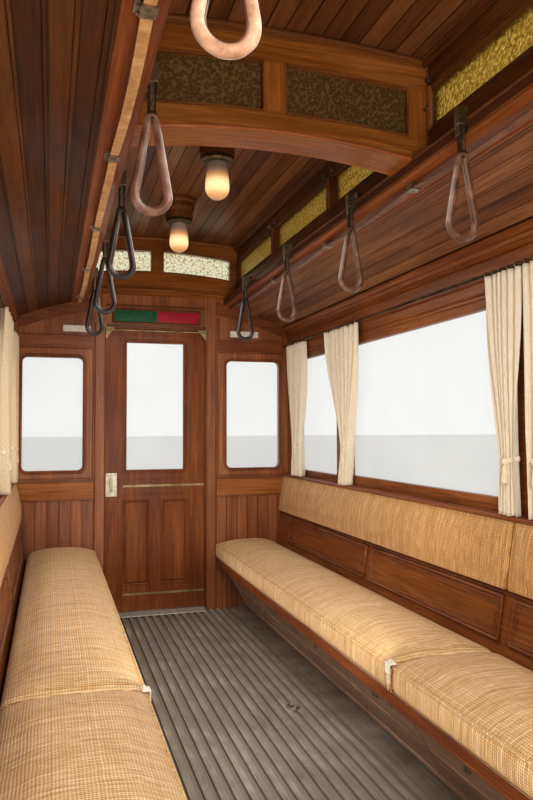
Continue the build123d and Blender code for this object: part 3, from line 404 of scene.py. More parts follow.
# Brass: worn bright on edges, brown tarnish between
brass = metal("worn_brass", ("#8c7c54", "#cbb98a"), 0.42, 9.0)
# Curtain rods: tarnished brass, darkened further as painted shade under the cornice
rod_brass = metal("tarnished_brass_rod_painted_shade", ("#33271a", "#6e5a3a"), 0.45, 12.0)
# Clips and brackets: zinc-plated steel gone dull
steel = metal("dull_plated_steel", ("#8f8776", "#c6bfad"), 0.42, 70.0)
# Sill: steel trodden bright, with dirt in its scratches
sill_metal = metal("trodden_sill_metal", ("#b3afa6", "#dcd8ce"), 0.5, 45.0, 0.5)
# Lamp rings: bronze gone green-brown; bolt heads: iron blacked with the underframe's tar
bronze = metal("greenish_bronze_ring", ("#4c4530", "#857a58"), 0.36, 70.0)
old_iron = metal("blackened_iron", ("#14120f", "#3a342c"), 0.5, 90.0)
# Enamel of the small blank plates and of the lock plate: nearly white, slightly yellowed
enamel = metal("ivory_enamel", ("#d8d0ba", "#f2eddd"), 0.3, 35.0, 0.0)
# Hammered glass: amber at the sides, pale at the ends, brown across the middle
amber_glass = hammered("amber_hammered_glass", ("#8f6a18", "#c89c3a", "#f0d77c"), 13.0, 0.8, 0.26, 0.65)
pale_glass = hammered("pale_hammered_glass", ("#b0a062", "#f8f0c6", "#fffdec"), 13.0, 0.9, 0.22)
# Brown glass: the paler lines round its domes are painted highlight
dark_glass = hammered("brown_hammered_glass", ("#6a4e2a", "#563b1d", "#4b3319"), 10.0, 0.1, 0.14, 0.25)
clear_glass = window_glass("drawn_sheet_glass")
lamp_glass = frosted_globe("lit_frosted_glass", 2330)
board_paint = sign_paint("blank_sign_enamel")

# The finish of each family of CAD nodes; a node is of the family with the longest name that it starts with
NODE_FINISH = {family: finish for finish, families in (
    (frame_paint, "sole_bars cross_bearers"), (floor_wood, "floor"), (board_paint, "route_boards"),
    (mahogany_long, "side_wall window_sashes bench_back"), (mahogany_boards, "bulkhead"),
    (mahogany_upright, "door_leaf"), (bench_wood, "bench_base"), (roof_skin, "roof_deck clerestory_roof"),
    (trim_wood, "clerestory_side lamp_bases"), (arch_wood, "clerestory_end middle_frame"),
    (clear_glass, "window_glass bulkhead_glass door_glass"), (amber_glass, "clerestory_glass"),
    (pale_glass, "end_lights"), (dark_glass, "middle_lights"), (lamp_glass, "lamp_globes"),
    (brass, "door_fittings door_rods"), (rod_brass, "curtain_rods"), (bronze, "lamp_rings"),
    (sill_metal, "door_sill"), (steel, "door_guide strap_clips strip_brackets"),
    (cane_seat, "seat_cushions"), (cane_back, "back_cushions"), (curtain_cotton, "curtains"),
    (strap_leather, "hand_straps"), (strip_wood, "strip_rails"),
) for family in families.split()}
for node_name, node_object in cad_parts.items():
    family = max((key for key in NODE_FINISH if node_name.startswith(key)), key=len)
    for slot in node_object.material_slots:
        slot.material = NODE_FINISH[family].material


# Ways of making pieces

def finished(piece, name, finish, body="saloon"):
    """Names a piece, gives it its material, and lets it ride on its body."""
    piece.name = name
    piece.data.name = name
    piece.data.materials.clear()
    piece.data.materials.append(finish.material)
    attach(piece, body)
    return piece


def pick(*pieces):
    """Selects just these pieces, the first as the active one."""
    bpy.ops.object.select_all(action="DESELECT")
    for piece in pieces:
        piece.select_set(True)
    bpy.context.view_layer.objects.active = pieces[0]


def block(low, high, edge=0.0, segments=2):
    """Block between two corners, with its edges rounded."""
    middle = [(a + b) / 2 * MM for a, b in zip(low, high)]
    middle[2] += FLOOR * MM
    size = [abs(b - a) * MM for a, b in zip(low, high)]
    bpy.ops.mesh.primitive_cube_add(size=1, location=middle, scale=size)
    bpy.ops.object.transform_apply(location=True, rotation=True, scale=True)
    if edge:
        bpy.ops.object.mode_set(mode="EDIT")
        bpy.ops.mesh.select_all(action="SELECT")
        bpy.ops.mesh.bevel(offset=edge * MM, segments=segments, affect="EDGES")
        bpy.ops.object.mode_set(mode="OBJECT")
    return bpy.context.object


def bead(points, radius, closed=False, sides=2):
    """Half-sunk round moulding, wire or cord along a line of points."""
    curve = bpy.data.curves.new("bead", "CURVE")
    curve.dimensions = "3D"
    curve.bevel_depth = radius * MM
    curve.bevel_resolution = sides
    curve.use_fill_caps = not closed
    line = curve.splines.new("POLY")
    line.points.add(len(points) - 1)
    for point, (x, y, height) in zip(line.points, points):
        point.co = (x * MM, y * MM, (height + FLOOR) * MM, 1)
    line.use_cyclic_u = closed
    piece = bpy.data.objects.new("bead", curve)
    bpy.context.collection.objects.link(piece)
    pick(piece)
    bpy.ops.object.convert(target="MESH")
    piece = bpy.context.object
    for face in piece.data.polygons:
        face.use_smooth = True
    return piece


def turned(x, y, outline, sides=40):
    """Piece turned about an upright axis: each step of radius and height is extruded from the last."""
    radius, height = outline[0]
    bpy.ops.mesh.primitive_circle_add(
        vertices=sides, radius=radius * MM, fill_type="NGON", location=(x * MM, y * MM, (height + FLOOR) * MM)
    )
    piece = bpy.context.object
    bpy.ops.object.transform_apply(location=True, rotation=True, scale=True)
    bpy.ops.object.mode_set(mode="EDIT")
    bpy.ops.mesh.select_all(action="SELECT")
    for next_radius, next_height in outline[1:]:
        bpy.ops.mesh.extrude_region_move(
            TRANSFORM_OT_translate={"value": (0, 0, (next_height - height) * MM)}
        )
        share = next_radius / radius
        bpy.ops.transform.resize(
            value=(share, share, 1), center_override=(x * MM, y * MM, (next_height + FLOOR) * MM)
        )
        radius, height = next_radius, next_height
    bpy.ops.mesh.select_all(action="SELECT")
    bpy.ops.mesh.normals_make_consistent(inside=False)
    bpy.ops.object.mode_set(mode="OBJECT")
    bpy.ops.object.shade_smooth_by_angle(angle=radians(40))
    return piece


def copy_of(piece, change):
    """Copy with its own mesh, moved in the mesh, with its faces still outwards."""
    twin = piece.copy()
    twin.data = piece.data.copy()
    bpy.context.collection.objects.link(twin)
    twin.data.transform(change)
    if change.determinant() < 0:
        twin.data.flip_normals()
    return twin


def shifted(x, y, z):
    return Matrix.Translation((x * MM, y * MM, z * MM))


def joined(pieces):
    if len(pieces) > 1:
        pick(*pieces)
        bpy.ops.object.join()
    return pieces[0]


def repeated(pieces, *changes):
    """The given pieces with their copies after each change, as one."""
    return joined(pieces + [copy_of(piece, change) for change in changes for piece in pieces])


def four_ways(pieces):
    """Front-right pieces at all four corners of the car."""
    return repeated(pieces, MIRROR, HALF_TURN, HALF_TURN @ MIRROR)


def both_sides(pieces):
    return repeated(pieces, MIRROR)


def both_ends(pieces):
    return repeated(pieces, HALF_TURN)


def on_both_doors(piece, name, finish):
    """A piece of the front door and its copy on the rear one, each riding on its door."""
    rear = copy_of(piece, HALF_TURN)
    finished(piece, name + "_front", finish, "door_front")
    finished(rear, name + "_rear", finish, "door_rear")


def circle(count, point):
    """Points round a closed line, from a function of the angle."""
    return [point(2 * pi * n / count) for n in range(count)]


def arc_height(x, half, side_height, rise):
    """Height of a shallow arch of given rise over its half width, at x."""
    return side_height + rise * (1 - (x / half) ** 2)


def ceiling_height(x):
    return arc_height(x, clerestory_half, clerestory_top, ceiling - clerestory_top)


def deck_height(x):
    """Inner surface of the lower deck: a circle through the eaves, its middle and the clerestory edge."""
    share = (half_width - abs(x)) / (half_width - deck_edge)
    return eaves + (deck_edge_height - eaves) * share + 4 * 14.6 * share * (1 - share)


def round_frame(x0, x1, z0, z1, corner, y, steps=6):
    """Points round a rectangle with rounded corners, upright across the car."""
    points = []
    for cx, cz, turn in ((x1, z1, 0), (x0, z1, 1), (x0, z0, 2), (x1, z0, 3)):
        ax = cx - corner if cx == x1 else cx + corner
        az = cz - corner if cz == z1 else cz + corner
        for n in range(steps + 1):
            angle = (turn + n / steps) * pi / 2
            points.append((ax + corner * cos(angle), y, az + corner * sin(angle)))
    return points


def along_wall(points, x_at):
    """The same frame turned to lie along a side wall; x_at gives the wall's x at a height."""
    return [(x_at(height), across, height) for across, _, height in points]


def slope_board(edges, height_at):
    """Boards laid side by side under a curved surface, each tilted to it, with a small joint between."""
    boards = []
    for near, far in zip(edges[:-1], edges[1:]):
        rise = height_at(far) - height_at(near)
        tilt = Matrix.Rotation(-atan2(rise, far - near), 4, "Y")
        wide = sqrt((far - near) ** 2 + rise**2) / 2 - 0.9
        place = shifted((near + far) / 2, 0, (height_at(near) + height_at(far)) / 2 + FLOOR)
        board = block((-wide, -run_end, -4.5 - FLOOR), (wide, run_end, 0.5 - FLOOR), 1.6, 1)
        board.data.transform(place @ tilt)
        boards.append(board)
    return joined(boards)


def bent_board(x0, x1, low, high, y0, y1, cuts=14):
    """Rail whose lower and upper edges follow curves given over x."""
    piece = block((x0, y0, 0), (x1, y1, 100))
    bpy.ops.object.mode_set(mode="EDIT")
    bpy.ops.mesh.select_all(action="SELECT")
    bpy.ops.mesh.subdivide(number_cuts=cuts)
    bpy.ops.object.mode_set(mode="OBJECT")
    for point in piece.data.vertices:
        share = (point.co.z / MM - FLOOR) / 100
        x = point.co.x / MM
        point.co.z = (FLOOR + low(x) + (high(x) - low(x)) * share) * MM
    return piece


def run(x, height, radius, end=run_end):
    """Bead along the length of the saloon."""
    return bead([(x, -end, height), (x, end, height)], radius)


def across(height_at, y, radius, half, steps=24):
    """Bead that follows a curve from one side of the car to the other."""
    span = [half * (2 * n / steps - 1) for n in range(steps + 1)]
    return bead([(x, y, height_at(x)) for x in span], radius)


# Matchboards under the lower decks and under the clerestory roof
deck_edges = [deck_edge + n * 2 * deck_edge / 15 for n in range(7)] + [half_width - 34]
deck_boards = slope_board(deck_edges, deck_height)
finished(copy_of(deck_boards, MIRROR), "deck_matchboards_left", deck_wood)
# The right deck takes the paler boards, a painted sheen
finished(deck_boards, "deck_matchboards_right", deck_wood_painted_sheen)
ceiling_edges = [-clerestory_half + n * 2 * clerestory_half / 17 for n in range(18)]
finished(slope_board(ceiling_edges, ceiling_height), "ceiling_matchboards", ceiling_wood)

# Mouldings along the clerestory, the ledge and the cornice
long_trim = [
    run(deck_edge, 2134, 5), run(deck_edge + 1, ledge - 1, 6), run(clerestory_half - 2, 2182, 9),
    run(clerestory_half - 1, 2294, 4), run(clerestory_half - 1, 2457, 4), run(544, 2549, 6),
    run(556, 2530, 5), block((544, -run_end, 2532), (568, run_end, 2560), 7, 3),
]
finished(both_sides(long_trim), "clerestory_mouldings", trim_wood)
cornice_trim = [run(936, 1922, 5), run(935, 1936, 4), run(927, 1958, 4), run(912, 1982, 6), run(949, 1786, 5)]
finished(both_sides(cornice_trim), "cornice_mouldings", cornice_wood)

# Clerestory lights: stop beads round each pane, a strip on each post, and its small latch
pane_trim, post_strips, latches = [], [], []
for n in range(6):
    middle = (n - 2.5) * post_pitch
    outline = round_frame(middle - 415, middle + 415, 2305, 2445, 5, 0, 2)
    pane_trim.append(bead(along_wall(outline, lambda height: clerestory_half - 1), 5, True))
finished(both_sides(pane_trim), "clerestory_stop_beads", trim_wood)
for n in range(-2, 3):
    post = n * post_pitch
    for y in ((post - 46, post + 46) if n == 0 else (post,)):
        post_strips.append(block((555, y - 12, 2300), (568, y + 12, 2452), 4, 3))
        latches.append(block((549, y - 7, 2362), (557, y + 7, 2384), 2.5, 3))
        latches.append(block((544, y - 16, 2370), (551, y + 10, 2376), 2, 3))
    for y in (post - 52, post + 52):
        latches.append(block((553, y - 7, 2462), (567, y + 7, 2484), 2))
        latches.append(block((546, y - 3, 2468), (556, y + 3, 2478), 2))
finished(both_sides(post_strips), "clerestory_post_strips", rail_wood_upright)
finished(both_sides(latches), "clerestory_latches", steel)


# Frame across the middle: dark beads round its panes, a moulding under the ceiling, a rounded soffit
def light_outline(outer, foot, head, y, steps=12):
    """Points round one curved light; foot and head are its centre and outer rises above the ledge."""
    span = [40 + (outer - 40) * n / steps for n in range(steps + 1)]

    def line(rises):
        centre, edge = rises
        return [(x, y, ledge + centre - (centre - edge) * (x / outer) ** 2) for x in span]

    return line(foot) + line(head)[::-1]


middle_beads, middle_caps, soffit_edges, middle_stiles = [], [], [], []
for face in (-1, 1):
    middle_beads.append(bead(light_outline(488, (128, 105), (293, 271), face * 25), 5, True))
    for drop, y, radius in ((14, 27, 10), (32, 26, 4)):
        middle_caps.append(across(lambda x: ceiling_height(x) - drop, face * y, radius, clerestory_half))
    for x in (clerestory_half - 3, 3 - clerestory_half):
        middle_caps.append(bead([(x, face * 27, 2200), (x, face * 27, 2540)], 5))
    for lift, y, radius in ((1, 73, 6), (29, 29, 7)):
        soffit_edges.append(
            across(lambda x: arc_height(x, deck_edge, ledge + lift, 40), face * y, radius, deck_edge)
        )
    for low, high, foot, head in ((-39, 39, 129, 292), (494, 561, 92, 268), (-561, -494, 92, 268)):
        middle_stiles.append(block((low, face * 24, ledge + foot), (high, face * 27, ledge + head), 1))
finished(joined(middle_stiles), "middle_frame_stiles", arch_wood_upright)
finished(both_sides(middle_beads), "middle_pane_beads", trim_wood_level)
finished(joined(middle_caps), "middle_arch_moulding", trim_wood_level)
finished(joined(soffit_edges), "soffit_nosing", soffit_wood)

# Clerestory ends: beads round the pale lights and mouldings above and below them
end_beads = [bead(light_outline(520, (168, 133), (318, 280), 2682), 5, True)]
finished(four_ways(end_beads), "end_pane_beads", trim_wood_level)
end_caps = [
    across(lambda x: ceiling_height(x) - 12, 2682, 9, clerestory_half),
    across(lambda x: arc_height(x, clerestory_half, ledge + 8, 35), 2680, 8, clerestory_half),
    across(lambda x: arc_height(x, clerestory_half, ledge + 26, 35), 2682, 4, clerestory_half),
]
finished(both_ends(end_caps), "end_arch_moulding", arch_wood)

# Bulkheads: window frames, rails that follow the deck, sunk panels and bead lines
bulkhead_frames = [
    bead(round_frame(487, 888, 971, 1739, 40, trim_face), 7, True),
    bead(round_frame(474, 901, 958, 1752, 50, trim_face), 3, True),
    bead(round_frame(430, pillar_face, 926, 1793, 4, trim_face, 1), 4, True),
]
finished(four_ways(bulkhead_frames), "bulkhead_window_beads", mahogany_upright)
rails = [
    bent_board(
        post_outer, pillar_face, lambda x: deck_height(x) - 78, lambda x: deck_height(x) - 1, 2686, let_in
    ),
    block((post_outer, 2686, 1800), (pillar_face, let_in, 1874), 3),
    block((post_outer, 2680, 1872), (pillar_face, let_in, 1882), 4, 3),
    block((post_outer, 2684, 1806), (pillar_face, let_in, 1814), 3),
    block((post_outer, 2684, 898), (949, let_in, 910), 4, 3),
    block((post_outer, 2686, 778), (949, let_in, 788), 3),
    bead([(x, 2686, deck_height(x) - 80) for x in range(442, 915, 30)], 4),
    block((post_outer, 2688, 1874), (post_outer + 24, let_in, 2030), 3),
    block((900, 2688, 1874), (pillar_face, let_in, 1930), 3),
]
finished(four_ways(rails), "bulkhead_rails", mahogany_level)
rail_boards = [block((post_outer + 1, 2687.5, 788), (949, 2692, 898), 1.5)]
finished(four_ways(rail_boards), "bulkhead_rail_boards", rail_wood_level)
post_beads = [
    bead([(348, trim_face, 0), (348, trim_face, 1940)], 5),
    bead([(post_outer - 4, trim_face, 0), (post_outer - 4, trim_face, 1975)], 5),
]
finished(four_ways(post_beads), "door_post_beads", mahogany_upright)
sign_frame = [
    bead(round_frame(-300, 300, 1982, 2073, 4, 2692, 1), 7, True),
    block((-342, 2688, 1948), (342, let_in, 1968), 4),
    block((-342, 2690, 2092), (342, let_in, 2104), 3),
]
finished(both_ends(sign_frame), "sign_board_frame", trim_wood_level)
plates = [
    block((-626, 2694, 1907), (-446, let_in, 1950), 2), block((522, 2694, 1907), (730, let_in, 1950), 2),
]
finished(both_ends(plates), "blank_plates", enamel)

# End doors: beads round the glass and the panels, on both faces, a lock plate, and screws in the fittings
door_beads = []
for face, out in ((leaf_face, -1), (leaf_back, 1)):
    door_beads.append(bead(round_frame(-205, 205, 965, 1860, 12, face), 7, True))
    door_beads.append(bead(round_frame(-222, 222, 948, 1877, 20, face), 3, True))
    for low, high in ((46, 220), (-220, -46)):
        door_beads.append(bead(round_frame(low, high, 190, 765, 3, face, 1), 6, True))
        door_beads.append(bead(round_frame(low + 26, high - 26, 216, 739, 3, face - 2 * out, 1), 2.5, True))
    door_beads.append(block((-230, face + out * 5, 902), (230, face - out, 912), 2))
    door_beads.append(block((-230, face + out * 5, 800), (230, face - out, 808), 2))
on_both_doors(joined(door_beads), "door_beads", mahogany_upright)
on_both_doors(block((-341, 2752, 793), (-263, 2757.5, 952), 2.2, 3), "lock_plate", enamel)
screws = []
plate_screws = [(x, 6, height) for height in (805, 940) for x in (-330, -275)]
strip_screws = [(x, 2.5, height) for height in (123, 861) for x in (-200, 0, 200)]
for x, reach, height in plate_screws + strip_screws:
    head = turned(0, 0, [(4.2, -1.2), (4.2, 0.2), (3.2, 1.2), (1.2, 1.5)], 12)
    lay = shifted(x, leaf_face - reach, height + FLOOR) @ Matrix.Rotation(pi / 2, 4, "X")
    head.data.transform(lay @ shifted(0, 0, -FLOOR))
    screws.append(head)
on_both_doors(joined(screws), "door_screws", brass)


# Seat and back cushions: a swelled pad each, cane drawn over springs and piped along its edges
def swelled(pad, voxel, reach, keep_in, lift=None):
    """Pad under air pressure: remeshed, blown up as cloth, with each point's travel kept within reach.

    lift gives how far springs under the cloth push a point up before that.
    """
    pad.data.remesh_voxel_size = voxel * MM
    pick(pad)
    bpy.ops.object.voxel_remesh()
    if lift:
        for point in pad.data.vertices:
            point.co.z += lift(point.co / MM - Vector((0, 0, FLOOR))) * MM
    rest = [point.co.copy() for point in pad.data.vertices]
    cloth = pad.modifiers.new("stuffing", "CLOTH")
    cloth.settings.use_pressure = True
    cloth.settings.uniform_pressure_force = 4
    cloth.settings.effector_weights.gravity = 0
    cloth.point_cache.frame_end = 20
    scene = bpy.context.scene
    for step in range(1, 21):
        scene.frame_set(step)
    bpy.ops.object.modifier_apply(modifier="stuffing")
    scene.frame_set(1)
    for point, before in zip(pad.data.vertices, rest):
        travel = point.co - before
        cap = reach * MM * keep_in(before / MM - Vector((0, 0, FLOOR)))
        if travel.length > cap:
            travel = travel.normalized() * cap
        point.co = before + travel
    finer = pad.modifiers.new("finer", "SUBSURF")
    finer.levels = finer.render_levels = 1
    bpy.ops.object.modifier_apply(modifier="finer")
    bpy.ops.object.shade_smooth()
    return pad


def eased(share):
    share = max(0.0, min(1.0, share))
    return share * share * (3 - 2 * share)


def crown(value, low, high, power):
    """1 in the middle, falling smoothly to 0 at either limit; a higher power keeps it level for longer."""
    return max(0.0, 1 - abs((2 * value - low - high) / (high - low)) ** power)


def back_x(height):
    """Sloping face of the bench back, which starts at the rear of the seat."""
    return seat_out + (height - 350) * 0.15845


# What share of its reach each point of a pad may travel, and how far springs push up the seat
def seat_slack(p):
    tight_foot = 0.3 + 0.7 * eased((p.z - 395) / 45)
    return crown(p.x, seat_in, seat_out, 3) * crown(p.y, -2, 2690, 24) * tight_foot * (p.z > 352)


def seat_springs(p):
    along = 0.72 + 0.28 * crown(p.y, -2, 2690, 12)
    return (30 * crown(p.x, seat_in, seat_out, 2.6) - 9) * eased((p.z - 356) / 90) * along


def back_slack(p):
    return crown(p.z, 664, 913, 3) * crown(p.y, 0, 2688, 26) * (p.x < back_x(p.z) - 11)


seat = swelled(block((407, 4, 350), (840, 2684, 458), 30, 6), 14, 18, seat_slack, seat_springs)
back_start = block((-10, 4, 667), (10, 2684, 910), 7, 3)
for point in back_start.data.vertices:
    point.co.x += (back_x(point.co.z / MM - FLOOR) - 11.5) * MM
back_pad = swelled(back_start, 11, 15, back_slack)
for corner, change in CORNERS.items():
    side = corner.split("_")[1]
    for model, kind, finish in ((seat, "seat", cane_seat), (back_pad, "back", cane_back)):
        cushion = finished(copy_of(model, change), kind + "_cushion_" + corner, finish)
        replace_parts(cushion, kind + "_cushions_" + side)
bpy.data.objects.remove(seat)
bpy.data.objects.remove(back_pad)
seat_piping = [
    bead([
        (428, 8, 446), (417, 14, 443), (414, 30, 442), (414, 2658, 442), (417, 2674, 443), (428, 2680, 446),
    ], 5),
    bead([(409, 11, 360), (407, 10, 385), (408, 10, 420), (414, 12, 440)], 2.5),
]
finished(four_ways(seat_piping), "seat_piping", cane_seat)
corner_plates = [
    block((402, 1, 451), (428, 19, 457), 2.5, 3), block((400, 1, 420), (405, 17, 456), 2.3, 3),
    block((404, 1, 384), (407.5, 8, 416), 1.5),
    turned(418, 12, [(6.5, 457), (6.5, 460), (5, 461.5), (3, 460), (2.6, 457)], 16),
]
finished(four_ways(corner_plates), "seat_corner_plates", enamel)
back_piping = [bead([(back_x(908) - 12, 6, 911), (back_x(908) - 12, 2682, 911)], 5)]
for sunk, lift, size in ((17.5, 0, 5), (20.5, 6, 3)):
    outline = round_frame(9, 2679, 672 + lift, 906 - lift, 12, 0, 4)
    back_piping.append(bead(along_wall(outline, lambda height: back_x(height) - sunk), size, True))
finished(four_ways(back_piping), "back_piping", cane_back)

# Curtains: each one length of cotton gathered on its rod and tied back at the waist. For each kind, the
# cloth's width and its two edges at the rod, at the tie and at the foot
curtain_kinds = [
    (620, ((2235, 2600), (2300, 2455), (2290, 2475))),
    (800, ((1365, 1826), (1475, 1602), (1500, 1622))),
    (400, ((5, 240), (38, 134), (36, 150))),
]
curtain_top, waist, curtain_foot = 1838, 1130, 932


def curtain_edges(levels, height):
    """Front and rear edge of a curtain at a height, drawn in towards its tie."""
    top, tie, foot = levels
    if height > waist:
        end, share = top, eased(((height - waist) / (curtain_top - waist)) ** 0.75)
    else:
        end, share = foot, eased((waist - height) / (waist - curtain_foot))
    return [tie[n] + (end[n] - tie[n]) * share for n in (0, 1)]


def fold_row(levels, folds, seed, v, columns, depth):
    """Points across the gathered cloth at one level, from 0 at its foot to 1 at its rod."""
    height = curtain_foot + (curtain_top - curtain_foot) * v
    near, far = curtain_edges(levels, height)
    wave = (far - near) / folds
    points = []
    for n in range(columns + 1):
        u = n / columns
        drift = 0.42 * sin(3.4 * u * folds / 4 + seed) + 0.24 * sin(2.6 * v + 5 * u + seed * 2.1)
        turn = 2 * pi * (folds * u + drift)
        lean_in = 0.055 * wave * sin(2 * turn + seed) * eased(min(u, 1 - u) / 0.08)
        uneven = 1 + 0.3 * sin(2.3 * folds * u + 2 * seed + 1.5 * v)
        sway = 1.6 * sin(5 * u + seed) * (1 - v)
        points.append((
            curtain_rod_x + depth * uneven * sin(turn) + sway,
            near + (far - near) * u + lean_in,
            height + FLOOR + 2.5 * sin(turn * 0.5) * (v < 0.02),
        ))
    return points


def curtain(levels, folds, cloth_width, seed):
    """Gathered cloth: its folds are as deep at each level as the cloth's full width makes them."""
    rows, columns = 54, folds * 15
    bpy.ops.mesh.primitive_grid_add(x_subdivisions=columns, y_subdivisions=rows, size=2)
    piece = bpy.context.object
    levels_of_cloth = []
    for row in range(rows + 1):
        shallow, deep = 0, 60
        for _ in range(14):
            depth = (shallow + deep) / 2
            points = fold_row(levels, folds, seed, row / rows, columns, depth)
            width = sum(hypot(b[0] - a[0], b[1] - a[1]) for a, b in zip(points, points[1:]))
            if width < cloth_width:
                shallow = depth
            else:
                deep = depth
        levels_of_cloth.append(points)
    for point in piece.data.vertices:
        row, column = round((point.co.y + 1) / 2 * rows), round((point.co.x + 1) / 2 * columns)
        point.co = Vector(levels_of_cloth[row][column]) * MM
    piece.data.update()
    stuff = piece.modifiers.new("cloth_thickness", "SOLIDIFY")
    stuff.thickness = 1.1 * MM
    stuff.offset = 0
    bpy.ops.object.modifier_apply(modifier="cloth_thickness")
    bpy.ops.object.shade_smooth()
    return piece


def rings_on_rod(near, far, count):
    """Small wire rings on the curtain rod, one to a fold."""
    rings = []
    for n in range(count):
        y = near + (far - near) * (n + 0.5) / count
        wire = circle(14, lambda a: (curtain_rod_x + 10 * cos(a), y, curtain_rod_height - 1 + 10 * sin(a)))
        rings.append(bead(wire, 1.3, True, 1))
    return joined(rings)


def curtain_tie(near, far):
    """Three turns of cord round the gathered cloth, with a knot and a tassel that hang into the car."""
    middle, reach = (near + far) / 2, (far - near) / 2
    pieces = []
    for lift, size in ((-5, 3.4), (1, 4), (7, 3.4)):
        pieces.append(bead(circle(28, lambda a: (
            curtain_rod_x + (13 + size) * cos(a), middle + (reach + 1) * sin(a), waist + lift - 10 * sin(a)
        )), size, True))
    knot_x = curtain_rod_x - 22
    outline = (
        (3, 13), (9, 9), (11.5, 0), (8.5, -10), (5, -14), (8, -20), (10.5, -42), (12.5, -74), (11, -78),
    )
    pieces.append(turned(knot_x, middle, [(radius, waist + rise) for radius, rise in outline], 14))
    for n in range(7):
        angle = 2 * pi * n / 7
        ends = ((7, 18), (12, 80))
        strand = [(knot_x + out * cos(angle), middle + out * sin(angle), waist - drop) for out, drop in ends]
        pieces.append(bead(strand, 1.8, False, 1))
    return joined(pieces)


pillar_shift = {"right": -62, "left": 62}
for kind, (cloth_width, levels) in enumerate(curtain_kinds):
    folds = max(5, round(cloth_width / 88))
    models = (
        curtain(levels, folds, cloth_width, 1.7 * kind + 0.6), rings_on_rod(*levels[0], folds),
        curtain_tie(*levels[1]),
    )
    for corner, change in CORNERS.items():
        side = corner.split("_")[1]
        label = "%s_%d" % (corner, kind + 1)
        change = shifted(0, pillar_shift[side] if kind == 2 else 0, 0) @ change
        cloth, rings, tie = [copy_of(model, change) for model in models]
        # The left curtains take the darker cotton, a painted shade
        cotton_here = curtain_cotton if side == "right" else cotton_in_painted_shade
        finished(cloth, "curtain_" + label, cotton_here)
        finished(tie, "curtain_tie_" + label, thread)
        finished(rings, "curtain_rings_" + label, brass)
        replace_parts(cloth, "curtains_" + side)
    for model in models:
        bpy.data.objects.remove(model)

# Hand straps: a doubled leather stalk and a rolled teardrop loop, hung from a steel clip on the ledge
strap_x, loop_top, loop_foot = 458, 2062, 1811
bow_radius, neck_radius = 44, 10
bow, neck = loop_foot + bow_radius, loop_top - neck_radius
flare = asin((bow_radius - neck_radius) / (neck - bow))
loop_points = []
for n in range(25):
    angle = -pi / 2 + (pi / 2 + flare) * n / 24
    loop_points.append((bow_radius * cos(angle), bow + bow_radius * sin(angle)))
for n in range(1, 9):
    share = n / 9
    radius = bow_radius + (neck_radius - bow_radius) * share
    loop_points.append((radius * cos(flare), bow + (neck - bow) * share + radius * sin(flare)))
for n in range(7):
    angle = flare + (pi / 2 - flare) * n / 6
    loop_points.append((neck_radius * cos(angle), neck + neck_radius * sin(angle)))
outline = [(strap_x + x, 0, height) for x, height in loop_points]
outline += [(strap_x - x, 0, height) for x, height in loop_points[-2:0:-1]]
strap_model = bead(outline, 11, True, 4)
flank = loop_points[:31]
inner = [(-x, z) for x, z in flank[:0:-1]] + flank
stitching = []
for before, (x, height), after in zip(inner, inner[1:], inner[2:]):
    step_x, step_z = after[0] - before[0], after[1] - before[1]
    length = hypot(step_x, step_z)
    stitching.append((strap_x + x - step_z / length * 10.2, 0, height + step_x / length * 10.2))
seam_model = bead(stitching, 3.4)
stalk_model = joined([
    block((strap_x - 11, -7, loop_top - 8), (strap_x + 11, -1, 2162), 2.2, 3),
    block((strap_x - 11, 1, loop_top - 8), (strap_x + 11, 7, 2162), 2.2, 3),
    block((strap_x - 14, -10, loop_top - 14), (strap_x + 14, 10, loop_top + 12), 5, 3),
    block((strap_x - 13, -9, 2098), (strap_x + 13, 9, 2108), 3, 3),
])
strap_ys = tuple(strap_pitch * (n + 0.5) for n in range(3))
brown_straps, oiled_straps, black_straps, pale_straps, seams, stalks = [], [], [], [], [], []
for side in (1, -1):
    for y in strap_ys + tuple(-y for y in strap_ys):
        change = shifted(0, y, 0) if side > 0 else MIRROR @ shifted(0, y, 0)
        # Loops nearest the ends and those on the left side's front half take the near-black leather as
        # painted shade
        if abs(y) > 2000 or (side < 0 and y > 0):
            alike = black_straps
        elif side > 0:
            alike = oiled_straps
        else:
            alike = pale_straps if y < -1000 else brown_straps
        alike.append(copy_of(strap_model, change))
        seams.append(copy_of(seam_model, change))
        stalks.append(copy_of(stalk_model, change))
for model in (strap_model, seam_model, stalk_model):
    bpy.data.objects.remove(model)
hooks = []
for y in strap_ys:
    hooks += [
        block((strap_x - 17, y - 13, 2150), (477, y + 13, 2204), 2.5, 3),
        block((474, y - 42, 2174), (492, y + 10, 2200), 2.5, 3),
        block((464, y - 46, 2178), (476, y - 26, 2200), 3, 3),
        block((strap_x - 20, y - 6, 2168), (strap_x - 14, y + 6, 2192), 2, 3),
        block((strap_x - 15, y - 12, 2118), (strap_x - 12, y + 12, 2152), 1.2),
    ]
finished(four_ways(hooks), "strap_hooks", steel)
for pieces, name, finish in (
    (brown_straps, "strap_loops", strap_leather), (oiled_straps, "strap_loops_oiled", oiled_leather),
    (black_straps, "strap_loops_painted_shade", strap_dark), (pale_straps, "strap_loops_rubbed", rubbed_leather),
    (seams, "strap_seams", seam_leather), (stalks, "strap_stalks", strap_dark),
):
    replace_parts(finished(joined(pieces), name, finish), "hand_straps")


# Ledge board under each deck's inner edge, its bead, and the leather cord-strap through the brackets
def under_deck(x):
    return deck_height(x) - 4


